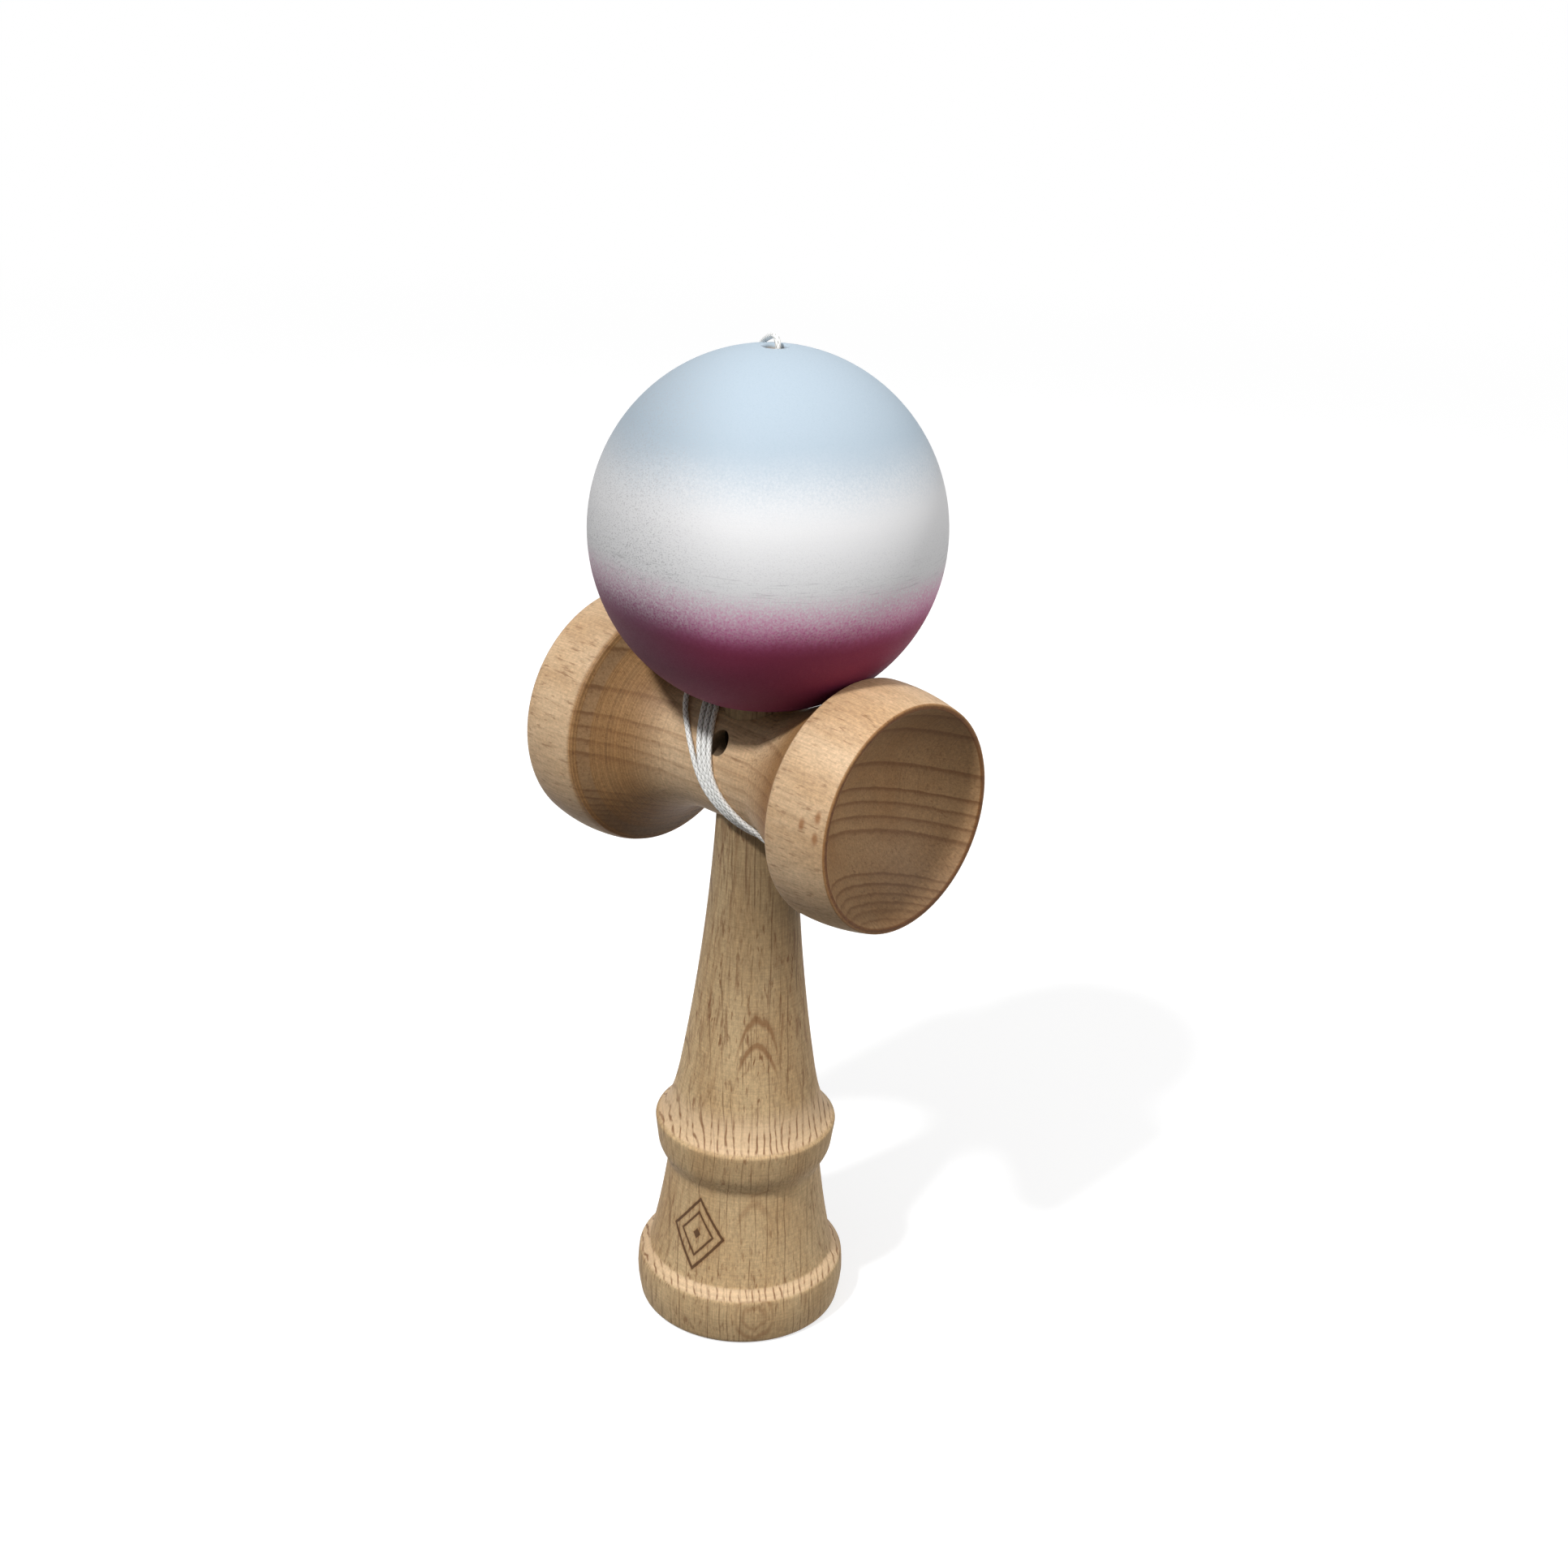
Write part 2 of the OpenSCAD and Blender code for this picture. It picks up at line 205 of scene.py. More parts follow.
cameraFacts = {
    "place": (239.05, -241.95, 243.83), "lens": 48.447, "sensor": 36, "roll": 2.5, "clip": (0.01, 400),
    "right": (0.7206, 0.6934, 0), "up": (-0.2628, 0.2731, 0.9254), "back": (0.6417, -0.6668, 0.3790)}

bpy.ops.object.camera_add(location=(0, 0, 0))
camera = bpy.context.object
camera.name = "photoCamera"
roll = math.radians(cameraFacts["roll"])
right, up, back = (Vector(cameraFacts[k]).normalized() for k in ("right", "up", "back"))
leanRight = right * math.cos(roll) + up * math.sin(roll)
leanUp = up * math.cos(roll) - right * math.sin(roll)
turn = Matrix((leanRight, leanUp, back)).transposed()
camera.matrix_world = Matrix.Translation(Vector(cameraFacts["place"]) * mm) @ turn.to_4x4()
camera.data.lens = cameraFacts["lens"]
camera.data.sensor_width = cameraFacts["sensor"]
camera.data.clip_start, camera.data.clip_end = cameraFacts["clip"]
bpy.context.scene.camera = camera
print("camera set")


# string: from its knot in the ken, out of the back hole, round the waist, up behind the ball and into its crown

stringFacts = {
    "thick": 0.98, "beside": 1.1, "lift": 0.06, "swell": (8.0, 21.5, 1.27),
    "winding": range(180, 1531, 5), "step": 0.34, "sides": 4, "bends": 8, "leadBends": 10,
    "waistRadius": 11.4, "waistHalf": 7.0, "bigCurve": 18.94, "smallCurve": 16.71, "axisHeight": 108.8,
    # where the first turn crosses the waist, by the angle round it: front 0, top 90, back 180, below 270
    "firstTurn": {0: 0.6, 15: -0.5, 30: -1.6, 45: -2.9, 60: -4.5, 75: -6.5, 90: -7.3, 105: -6.7, 120: -4.9, 135: -3.2,
                  150: -1.6, 165: -0.3, 180: 1.0, 195: 2.6, 210: 4.8, 225: 7.1, 240: 9.2, 255: 10.7, 270: 11.4,
                  285: 10.7, 300: 9.2, 315: 7.1, 330: 4.7, 345: 2.4},
    # how far the last turn strays to the big cup's side
    "lastTurn": {1425: 0, 1440: -0.1, 1455: -0.6, 1470: -1.6, 1485: -2.7, 1500: -3.1, 1515: -3.0, 1530: -3.1},
    "fan": {0: 0, 15: 0.1, 30: 0.2, 45: 0.28, 60: 0.28, 75: 0.1, 90: 0, 345: 0},
    "tail": [(0, 5.4, 5.6), (0, 6.9, 5.6), (0, 7.9, 5.6), (0, 9.3, 5.62), (0.1, 10.5, 5.3), (0.5, 11.4, 4.2),
             (1.0, 11.9, 2.2)],
    "lead": [(-14, 3.5, 122), (-14.5, 7, 122), (-14.5, 10, 122.7), (-15, 13, 124), (-16, 16, 126.5), (-17.5, 19, 130),
             (-18.5, 21, 134), (-19.5, 22, 138.5), (-20.5, 22.5, 143), (-21.5, 22.5, 147.5), (-22.5, 21.5, 152),
             (-22.5, 20.5, 156.5), (-22.5, 19, 161), (-21.8, 17.3, 165), (-20.2, 15.2, 169), (-17.8, 13, 172.4),
             (-15.0, 10.8, 175.2), (-12.0, 8.4, 177.5), (-8.6, 6.0, 179.3), (-5.6, 3.9, 180.5), (-3.5, 2.5, 181.2),
             (-1.9, 1.5, 181.65), (-0.7, 0.85, 181.55), (0.0, 0.55, 180.95), (0.2, 0.45, 180.1), (0.2, 0.4, 179.2),
             (0.15, 0.2, 178.2)],
    "inside": [(0.15, 0.2, 178.2), (0.1, 0.1, 176.6), (0, 0, 175), (0, 0, 170), (0, 0, 164.2), (0, 0, 163)]}


def between(table, at):
    # smooth value between the table's places
    keys = sorted(table)
    if at <= keys[0]:
        return table[keys[0]]
    for a, b in zip(keys, keys[1:]):
        if at <= b:
            t = (at - a) / (b - a)
            before = table[keys[max(keys.index(a) - 1, 0)]]
            after = table[keys[min(keys.index(b) + 1, len(keys) - 1)]]
            return easing(before, table[a], table[b], after, t)
    return table[keys[-1]]


def turnAcross(angle):
    # where the winding crosses the waist, counted in degrees from its start in front
    f = stringFacts
    place = angle % 360
    table = dict(f["firstTurn"])
    table[-15] = table[345]
    table[360] = table[0]
    table[375] = table[15]
    turns = angle / 360 - 1
    fan = between({**f["fan"], 360: 0}, place)
    across = between(table, place) - turns * f["beside"] - max(turns, 0) * fan
    return across + between(f["lastTurn"], angle)


def onWaist(angle):
    f = stringFacts
    across = turnAcross(angle)
    curve = f["bigCurve"] if across < 0 else f["smallCurve"]
    past = max(0, abs(across) - f["waistHalf"])
    tilt = -math.copysign(math.asin(past / curve), across)
    start, end, rise = f["swell"]  # the small cup's neck swells under the ball
    high = f["thick"] / 2 + f["lift"] + rise * math.sin(math.pi * min(max((across - start) / (end - start), 0), 1))
    out = f["waistRadius"] + curve - math.sqrt(curve * curve - past * past) + high * math.cos(tilt)
    a = math.radians(angle)
    return (across + high * math.sin(tilt), -out * math.cos(a), f["axisHeight"] + out * math.sin(a))


tail = [(x, y, z + stringFacts["axisHeight"]) for x, y, z in stringFacts["tail"]]
turnsOfString = [onWaist(a) for a in stringFacts["winding"]]
stringLine = flowing(tail + turnsOfString[:1], stringFacts["bends"])[:-1] + [Vector(p) for p in turnsOfString]
stringLine = stringLine[:-1] + flowing(turnsOfString[-1:] + stringFacts["lead"], stringFacts["leadBends"])
stringLine = evenly(stringLine, stringFacts["step"])
string = tubeAlong("playString", stringLine, stringFacts["thick"] / 2, stringFacts["sides"])
insideLine = evenly(flowing(stringFacts["inside"], stringFacts["bends"]), stringFacts["step"])
stringInside = tubeAlong("stringInBall", insideLine, stringFacts["thick"] / 2, stringFacts["sides"])
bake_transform(string)
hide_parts("string_winding", "string_lead")
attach(stringInside, "string_end")
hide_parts("string_in_tama")


# stopper knots: an overhand knot in the ken's cross hole, and one under the bead

knotFacts = {
    "anchor": {"centre": (0, 4.6, 114.4), "size": 1.45, "depth": 1.25, "into": "handle", "node": "anchor_knot"},
    "bead": {"centre": (0, 0, 162.1), "size": 1.4, "depth": 1.15, "into": "string_end", "node": "bead_knot"},
    "from": 40, "sweep": 300, "count": 120, "flat": 0.62, "step": 0.2, "strand": 0.5, "sides": 3}


def overhand(facts, name, lieAlong):
    # an open trefoil
    f = knotFacts
    loop = []
    for i in range(f["count"] + 1):
        t = math.radians(f["from"] + f["sweep"] * i / f["count"])
        a = (math.sin(t) + 2 * math.sin(2 * t)) / 3 * facts["size"]
        b = (math.cos(t) - 2 * math.cos(2 * t)) / 3 * facts["size"]
        c = -math.sin(3 * t) * facts["depth"] * f["flat"]
        x, y, z = facts["centre"]
        loop.append((x + a, y + c, z + b) if lieAlong == "Y" else (x + a, y + b, z + c))
    return tubeAlong(name, evenly(loop, f["step"]), f["strand"], f["sides"])


anchorKnot = overhand(knotFacts["anchor"], "anchorKnot", "Y")
beadKnot = overhand(knotFacts["bead"], "beadKnot", "Z")
for knot, facts in ((anchorKnot, knotFacts["anchor"]), (beadKnot, knotFacts["bead"])):
    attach(knot, facts["into"])
    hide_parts(facts["node"])
print("knots tied")


# ken: turned handle with a cup under its base, a collar, a tapered body and the spike

kenFacts = {
    "cupRadius": 20.0, "cupMouth": 31.0, "foot": 37.2,
    "baseSide": [(1.4, 18.87), (2.8, 19.13), (4.2, 19.34), (5.8, 19.46), (7.4, 19.4), (9.4, 19.21)],
    "ledge": (11.1, 17.2), "neckTop": (29.3, 14.1), "neckHollow": 0.25, "underCollar": (32.9, 16.0),
    "collarEdge": (38.4, 16.7), "sweep": ((39.0, 16.0), (40.67, 13.77), (48.8, 12.4)),
    "bodyTop": (97.4, 7.2), "bodyHollow": 3.016, "bodySteps": 24, "spikeFoot": (120.2, 6.6), "spikeTip": (159.0, 3.8),
    "hole": 2.5, "holeHeight": 114.4, "cupSteps": 18, "neckAt": (0.2, 0.4, 0.6, 0.8), "sweepSteps": 16,
    # width of each rounded edge, by its place on the outline
    "soft": {(0, 18.6): 1.05, (0, 15.5): 0.35, (9.4, 19.21): 0.45, (11.1, 17.2): 0.25, (29.3, 14.1): 0.8,
             (32.9, 16.0): 1.0, (38.4, 16.7): 0.32, (159.0, 3.8): 1.7}}


def makeKen():
    f = kenFacts
    drop = math.sqrt(f["cupRadius"] ** 2 - (f["cupMouth"] / 2) ** 2)
    rise = math.degrees(math.asin(f["cupMouth"] / 2 / f["cupRadius"]))
    outline = arcPoints(-drop, 0, f["cupRadius"], 0, rise, f["cupSteps"])
    outline += [(0, f["foot"] / 2)] + f["baseSide"]
    a, b = f["ledge"], f["neckTop"]
    outline.append(a)
    for t in f["neckAt"]:
        dip = f["neckHollow"] * math.sin(math.pi * t)
        outline.append((a[0] + (b[0] - a[0]) * t, a[1] + (b[1] - a[1]) * t - dip))
    outline += [b, f["underCollar"], f["collarEdge"]] + bendPoints(*f["sweep"], f["sweepSteps"])
    low, high = f["sweep"][2], f["bodyTop"]
    for i in range(1, f["bodySteps"] + 1):
        t = i / f["bodySteps"]
        dip = f["bodyHollow"] * t * (1 - t)
        outline.append((low[0] + (high[0] - low[0]) * t, low[1] + (high[1] - low[1]) * t - dip))
    outline += [f["spikeFoot"], f["spikeTip"], (f["spikeTip"][0], 0)]
    piece = turnOnLathe("kenHandle", outline, "Z")
    for (along, out), width in f["soft"].items():
        softenRing(piece, "Z", along, out, width)
    drillAcross(piece, f["hole"], f["holeHeight"])
    smoothTurned(piece)
    return piece


ken = makeKen()
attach(ken, "handle")
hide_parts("ken")
print("ken turned:", len(ken.data.polygons), "faces")


# sarado: cross-piece with the big cup and the small cup, turned about X

saradoFacts = {
    "centre": (0, 0, 108.8), "waist": 11.4, "waistHalf": 7.0,
    # the small cup's neck is fuller under the ball, and so is its brim
    "big": {"reach": 36.0, "rim": 22.4, "shoulder": 22.6, "band": 10.8, "mouth": 21.4, "hollow": 25.0,
            "neckEnd": 24.1, "curve": 18.94, "full": 0, "brim": 0, "fullFrom": 12.0},
    "small": {"reach": 34.4, "rim": 19.7, "shoulder": 20.98, "band": 11.8, "mouth": 18.9, "hollow": 22.0,
              "neckEnd": 21.5, "curve": 16.65, "full": 1.27, "brim": 0.2, "fullFrom": 8.0},
    "belly": 1.0, "rimSoft": 0.2, "mouthSoft": 0.1, "shoulderSoft": 0.28, "hole": 2.0, "holeHeight": 114.4,
    "seat": ((90, 7.445), (128, 6.445)), "steps": 160, "seatSteps": 96,
    "neckSteps": 20, "bandSteps": 10, "hollowSteps": 24}


def cupOutline(cup):
    # from the waist to the middle of the hollow
    f = saradoFacts
    tilt = math.degrees(math.asin((cup["neckEnd"] - f["waistHalf"]) / cup["curve"]))
    line = arcPoints(f["waistHalf"], f["waist"] + cup["curve"], cup["curve"], -90, tilt - 90, f["neckSteps"])
    for i, (along, out) in enumerate(line):
        share = (along - cup["fullFrom"]) / (cup["neckEnd"] - cup["fullFrom"])
        swell = cup["full"] * math.sin(math.pi * min(max(share, 0), 1))
        swell += cup["brim"] * math.sin(math.pi * min(max(2 * share - 1, 0), 1))
        line[i] = (along, out + swell)
    shoulder = (cup["reach"] - cup["band"], cup["shoulder"])
    rim = (cup["reach"], cup["rim"])
    middle = ((shoulder[0] + rim[0]) / 2, (shoulder[1] + rim[1]) / 2 + f["belly"])
    line += bendPoints(shoulder, middle, rim, f["bandSteps"])
    far = cup["reach"] + math.sqrt(cup["hollow"] ** 2 - cup["mouth"] ** 2)
    half = math.degrees(math.asin(cup["mouth"] / cup["hollow"]))
    line += arcPoints(far, 0, cup["hollow"], 180 - half, 180, f["hollowSteps"])
    return line


def makeSarado():
    f = saradoFacts
    small = cupOutline(f["small"])
    big = [(-along, out) for along, out in cupOutline(f["big"])]
    piece = turnOnLathe("saradoCups", big[::-1] + small, "X", f["centre"], f["steps"])
    for cup, side in ((f["big"], -1), (f["small"], 1)):
        softenRing(piece, "X", side * cup["reach"], cup["rim"], f["rimSoft"], f["centre"])
        softenRing(piece, "X", side * cup["reach"], cup["mouth"], f["mouthSoft"], f["centre"])
        softenRing(piece, "X", side * (cup["reach"] - cup["band"]), cup["shoulder"], f["shoulderSoft"], f["centre"])
    (z0, r0), (z1, r1) = f["seat"]
    cutWith(piece, turnOnLathe("seatCutter", [(z0, 0), (z0, r0), (z1, r1), (z1, 0)], "Z", steps=f["seatSteps"]))
    drillAcross(piece, f["hole"], f["holeHeight"])
    smoothTurned(piece)
    return piece


sarado = makeSarado()
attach(sarado, "handle")
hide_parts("sarado")
print("sarado turned:", len(sarado.data.polygons), "faces")


# tama: ball with its bore, bead chamber and crown hole

tamaFacts = {
    "centreHeight": 150.021, "radius": 30.0, "halfHeight": 30.5, "mouth": 12.5, "mouthSoft": 0.5, "bevel": 3.4,
    "bore": 9.5, "boreTop": 157.3, "chamber": (160.3, 5.5), "roof": 170.7, "crownHole": 2.0, "crownSoft": 0.5,
    "steps": 160, "skinSteps": 60, "crownSteps": 4}


def makeTama():
    f = tamaFacts
    low = -math.acos(f["mouth"] / f["radius"])
    high = math.acos((f["crownHole"] + f["crownSoft"]) / f["radius"])
    skin = []
    for i in range(f["skinSteps"] + 1):
        a = low + (high - low) * i / f["skinSteps"]
        skin.append((f["centreHeight"] + f["halfHeight"] * math.sin(a), f["radius"] * math.cos(a)))
    outline = list(skin)
    for i in range(1, f["crownSteps"] + 1):
        t = math.pi / 2 * i / f["crownSteps"]
        outline.append((skin[-1][0] + f["crownSoft"] * (math.cos(t) - 1),
                        f["crownHole"] + f["crownSoft"] * (1 - math.sin(t))))
    outline += [(f["roof"], f["crownHole"]), (f["roof"], f["chamber"][1]), f["chamber"], (f["boreTop"], f["bore"]),
                (skin[0][0] + f["bevel"], f["bore"]), skin[0]]
    piece = turnOnLathe("tamaBall", outline, "Z", steps=f["steps"])
    softenRing(piece, "Z", skin[0][0], skin[0][1], f["mouthSoft"])
    softenRing(piece, "Z", skin[0][0] + f["bevel"], f["bore"], f["mouthSoft"])
    smoothTurned(piece)
    return piece


tama = makeTama()
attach(tama, "ball")
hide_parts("tama")
print("tama turned:", len(tama.data.polygons), "faces")


# materials

def tint(r, g, b):
    # a colour as a picture shows it, 0 to 255
    return tuple(((c / 255 + 0.055) / 1.055) ** 2.4 if c > 10 else c / 255 / 12.92 for c in (r, g, b)) + (1,)


lineFacts = {"room": 0.72, "end": 0.14, "endShare": 0.3, "faintAt": 0.4, "faint": 0.24, "boldAt": 0.11, "boldEnd": 0.6,
             "bold": 0.9}


class Bench:
    # places and wires nodes in one tree
    def __init__(self, tree):
        self.tree = tree
        self.count = 0

    def put(self, kind, **inputs):
        node = self.tree.nodes.new(kind)
        node.location = (190 * (self.count % 14), -260 * (self.count // 14))
        self.count += 1
        return self.fill(node, inputs)

    def fill(self, node, inputs):
        for name, value in inputs.items():
            self.feed(node.inputs[name.replace("_", " ")], value)
        return node

    def feed(self, socket, value):
        if isinstance(value, bpy.types.NodeSocket):
            self.tree.links.new(value, socket)
        else:
            socket.default_value = value

    def calc(self, operation, *values, clamp=False):
        node = self.put("ShaderNodeMath")
        node.operation = operation
        node.use_clamp = clamp
        for socket, value in zip(node.inputs, values):
            self.feed(socket, value)
        return node.outputs[0]

    def times(self, a, b):
        return self.calc("MULTIPLY", a, b)

    def scaled(self, value, by, start, clamp=False):
        return self.calc("MULTIPLY_ADD", value, by, start, clamp=clamp)

    def less(self, a, b, clamp=False):
        return self.calc("SUBTRACT", a, b, clamp=clamp)

    def most(self, a, b):
        return self.calc("MAXIMUM", a, b)

    def apart(self, a, b):
        return self.calc("ABSOLUTE", self.less(a, b))

    def step(self, value, low, high, fromZero=0.0, toOne=1.0):
        node = self.put("ShaderNodeMapRange")
        node.interpolation_type = "SMOOTHSTEP"
        for socket, v in zip(node.inputs, (value, low, high, fromZero, toOne)):
            self.feed(socket, v)
        return node.outputs[0]

    def noise(self, vector, scale=1.0, detail=2.0, rough=0.5, bend=0.0, flat=False):
        node = self.put("ShaderNodeTexNoise", Scale=scale, Detail=detail, Roughness=rough, Distortion=bend)
        if flat:
            node.noise_dimensions = "1D"
            self.feed(node.inputs["W"], vector)
        else:
            self.feed(node.inputs["Vector"], vector)
        return node.outputs[0]

    def stretch(self, vector, scale, shift=(0, 0, 0), turn=(0, 0, 0)):
        node = self.put("ShaderNodeMapping", Vector=vector, Scale=scale, Location=shift, Rotation=turn)
        return node.outputs[0]

    def turned(self, vector, degrees):
        return self.stretch(vector, (1, 1, 1), (0, 0, 0), (0, 0, math.radians(degrees)))

    def blend(self, amount, a, b, how="MIX"):
        node = self.put("ShaderNodeMix")
        node.data_type = "RGBA"
        node.blend_type = how
        for socket, v in zip([node.inputs[0], node.inputs[6], node.inputs[7]], (amount, a, b)):
            self.feed(socket, v)
        return node.outputs[2]

    def shade(self, colour, amount):
        return self.blend(1.0, colour, self.join(amount, amount, amount), "MULTIPLY")

    def stain(self, amount, colour, dye):
        return self.blend(amount, colour, self.blend(1.0, colour, dye, "MULTIPLY"))

    def parts(self, vector):
        node = self.put("ShaderNodeSeparateXYZ", Vector=vector)
        return node.outputs[0], node.outputs[1], node.outputs[2]

    def join(self, x, y, z):
        node = self.put("ShaderNodeCombineXYZ", X=x, Y=y, Z=z)
        return node.outputs[0]

    def length(self, vector):
        node = self.put("ShaderNodeVectorMath", Vector=vector)
        node.operation = "LENGTH"
        return node.outputs["Value"]

    def bump(self, height, strength, deep):
        return self.put("ShaderNodeBump", Height=height, Strength=strength, Distance=deep).outputs[0]

    def drawn(self, place, low, high, lines, fade=1.7):
        # darkness drawn along one direction: each line grows slowly and ends sharply
        f = lineFacts
        share = self.calc("DIVIDE", self.less(place, low), high - low, clamp=True)
        node = self.put("ShaderNodeFloatCurve", Value=share)
        spots = [(low, 0)]
        for at, dark in lines:
            room = min(fade, f["room"] * (at - spots[-1][0]))
            end = min(f["end"], f["endShare"] * room)
            spots += [(at - room, 0), (at - f["faintAt"] * room, f["faint"] * dark),
                      (at - f["boldAt"] * room - f["boldEnd"] * end, f["bold"] * dark), (at, dark), (at + end, 0)]
        spots.append((high, 0))
        line = node.mapping.curves[0]
        line.points[0].location = (0, 0)
        line.points[-1].location = (1, 0)
        for at, dark in spots[1:-1]:
            line.points.new((at - low) / (high - low), dark)
        for spot in line.points:
            spot.handle_type = "VECTOR"
        node.mapping.update()
        return node.outputs[0]


def newGroup(name, inputs, outputs):
    # an input without a value is a vector, the others are numbers
    tree = bpy.data.node_groups.new(name, "ShaderNodeTree")
    for label, value in inputs.items():
        kind = "NodeSocketVector" if value is None else "NodeSocketFloat"
        socket = tree.interface.new_socket(name=label, in_out="INPUT", socket_type=kind)
        if value is not None:
            socket.default_value = value
    for label in outputs:
        tree.interface.new_socket(name=label, in_out="OUTPUT", socket_type="NodeSocketFloat")
    bench = Bench(tree)
    return tree, bench, bench.put("NodeGroupInput").outputs, bench.put("NodeGroupOutput").inputs


# stretch of each noise across and along the grain, and how strongly it works
figureFacts = {
    "drift": (0.05, 0.05, 0.014), "wobble": (0.5, 0.5, 0.07), "wobbleBy": 0.45,
    "sway": (0.05, 0.05, 0.035), "swayBy": 2.4, "rayPlace": (0.5, 0.25), "rayHalf": (0.06, 0.07), "rayCore": 0.02,
    "laneApart": 7.31, "layerApart": 0.06, "rayShown": (0.40, 0.62),
    "grit": (1.7, 1.7, 0.34), "gritAt": (3.1, 1.7, 0.4), "gritShown": (0.56, 0.74),
    "patch": (0.11, 0.11, 0.05), "patchShown": (0.3, 0.6, 0.3, 1.0),
    "fibre": (3.4, 3.4, 0.2), "tone": (0.09, 0.09, 0.03), "toneAt": (5, 2, 1), "mottle": 1.7}


def makeFigureGroup():
    # beech: grain along Z, growth layers across X, rays in planes of one Y, all in millimetres
    labels = ["Place", "Ray", "Fleck", "Fibre", "Tone", "Mottle"]
    inputs = {"Vector": None, "Layer Drift": 1.6, "Ray Step": 1.6, "Ray Length": 7.0, "Seed": 0.0}
    tree, b, gin, out = newGroup("beechFigure", inputs, labels)
    f = figureFacts
    v = gin["Vector"]
    x, y, z = b.parts(v)
    # place across the growth layers, with the slow drift and small wobble of a tree's rings
    drift = b.noise(b.stretch(v, f["drift"]))
    wobble = b.noise(b.stretch(v, f["wobble"]))
    place = b.scaled(b.less(drift, 0.5), gin["Layer Drift"], x)
    place = b.scaled(b.less(wobble, 0.5), f["wobbleBy"], place)
    # rays: thin broken lines, one to a lane
    sway = b.noise(b.stretch(v, f["sway"]))
    lane = b.scaled(sway, f["swayBy"], b.calc("DIVIDE", y, gin["Ray Step"]))
    laneNumber = b.calc("FLOOR", lane)
    chance = b.put("ShaderNodeTexWhiteNoise")
    chance.noise_dimensions = "1D"
    b.feed(chance.inputs["W"], b.calc("ADD", laneNumber, gin["Seed"]))
    away = b.apart(b.calc("FRACT", lane), b.scaled(chance.outputs[0], *f["rayPlace"]))
    along = b.calc("DIVIDE", z, gin["Ray Length"])
    breaks = b.noise(b.join(b.times(laneNumber, f["laneApart"]), along, b.times(x, f["layerApart"])), 1.0, 2.5)
    thin = b.step(away, b.scaled(chance.outputs[0], *f["rayHalf"]), f["rayCore"])
    ray = b.times(thin, b.step(breaks, *f["rayShown"]))
    # flecks: short dark dashes along the grain
    grit = b.noise(b.stretch(v, f["grit"], f["gritAt"]), 1.0, 2.0, 0.5, 0.3)
    patch = b.noise(b.stretch(v, f["patch"]), 1.0, 1.0)
    fleck = b.times(b.step(grit, *f["gritShown"]), b.step(patch, *f["patchShown"]))
    fibre = b.noise(b.stretch(v, f["fibre"]), 1.0, 4.0, 0.62)
    tone = b.noise(b.stretch(v, f["tone"], f["toneAt"]), 1.0, 3.0, 0.55)
    mottle = b.noise(v, f["mottle"], 4.0, 0.72)
    for label, value in zip(labels, (place, ray, fleck, fibre, tone, mottle)):
        b.feed(out[label], value)
    return tree


def makeMarksGroup():
    # fine rings left by the lathe tool, by the place along the axis in millimetres
    tree, b, gin, out = newGroup("latheMarks", {"Along": 0.0, "Fineness": 3.0}, ["Mark"])
    fine = b.noise(b.times(gin["Along"], gin["Fineness"]), 1.0, 3.0, 0.6, flat=True)
    b.feed(out["Mark"], fine)
    return tree


sprayFacts = {"cloud": (0.09, 0.09, 0.2), "cloudBy": 1.6}


def makeSprayGroup():
    # cover of a sprayed coat that thins out to dots between two heights
    inputs = {"Vector": None, "Height": 0.0, "Bare": 0.0, "Full": 1.0, "Dots": 0.5, "Size": 2.2}
    tree, b, gin, out = newGroup("sprayCover", inputs, ["Cover"])
    cloud = b.noise(b.stretch(gin["Vector"], sprayFacts["cloud"]))
    dots = b.noise(gin["Vector"], gin["Size"], 2.0, 0.7)
    height = b.scaled(b.less(cloud, 0.5), sprayFacts["cloudBy"], gin["Height"])
    amount = b.step(height, gin["Bare"], gin["Full"])
    grain = b.times(b.less(dots, 0.5), gin["Dots"])
    middle = b.times(b.times(amount, b.less(1.0, amount)), 4.0)
    b.feed(out["Cover"], b.scaled(grain, middle, amount, clamp=True))
    return tree


figureGroup = makeFigureGroup()
marksGroup = makeMarksGroup()
sprayGroup = makeSprayGroup()


def emptyMaterial(name):
    material = bpy.data.materials.new(name)
    material.use_nodes = True
    material.node_tree.nodes.clear()
    bench = Bench(material.node_tree)
    return material, bench, bench.put("ShaderNodeOutputMaterial")


def newMaterial(name):
    material, bench, out = emptyMaterial(name)
    skin = bench.put("ShaderNodeBsdfPrincipled")
    bench.feed(out.inputs[0], skin.outputs[0])

    def finish(colour, rough, normal, gloss=0.5):
        for label, value in (("Base Color", colour), ("Roughness", rough), ("Normal", normal),
                             ("Specular IOR Level", gloss)):
            bench.feed(skin.inputs[label], value)
        return material

    return bench, finish


def useGroup(bench, group, **inputs):
    node = bench.put("ShaderNodeGroup")
    node.node_tree = group
    return bench.fill(node, inputs).outputs


def millimetres(bench):
    spot = bench.put("ShaderNodeTexCoord")
    return bench.stretch(spot.outputs["Object"], (1000, 1000, 1000))


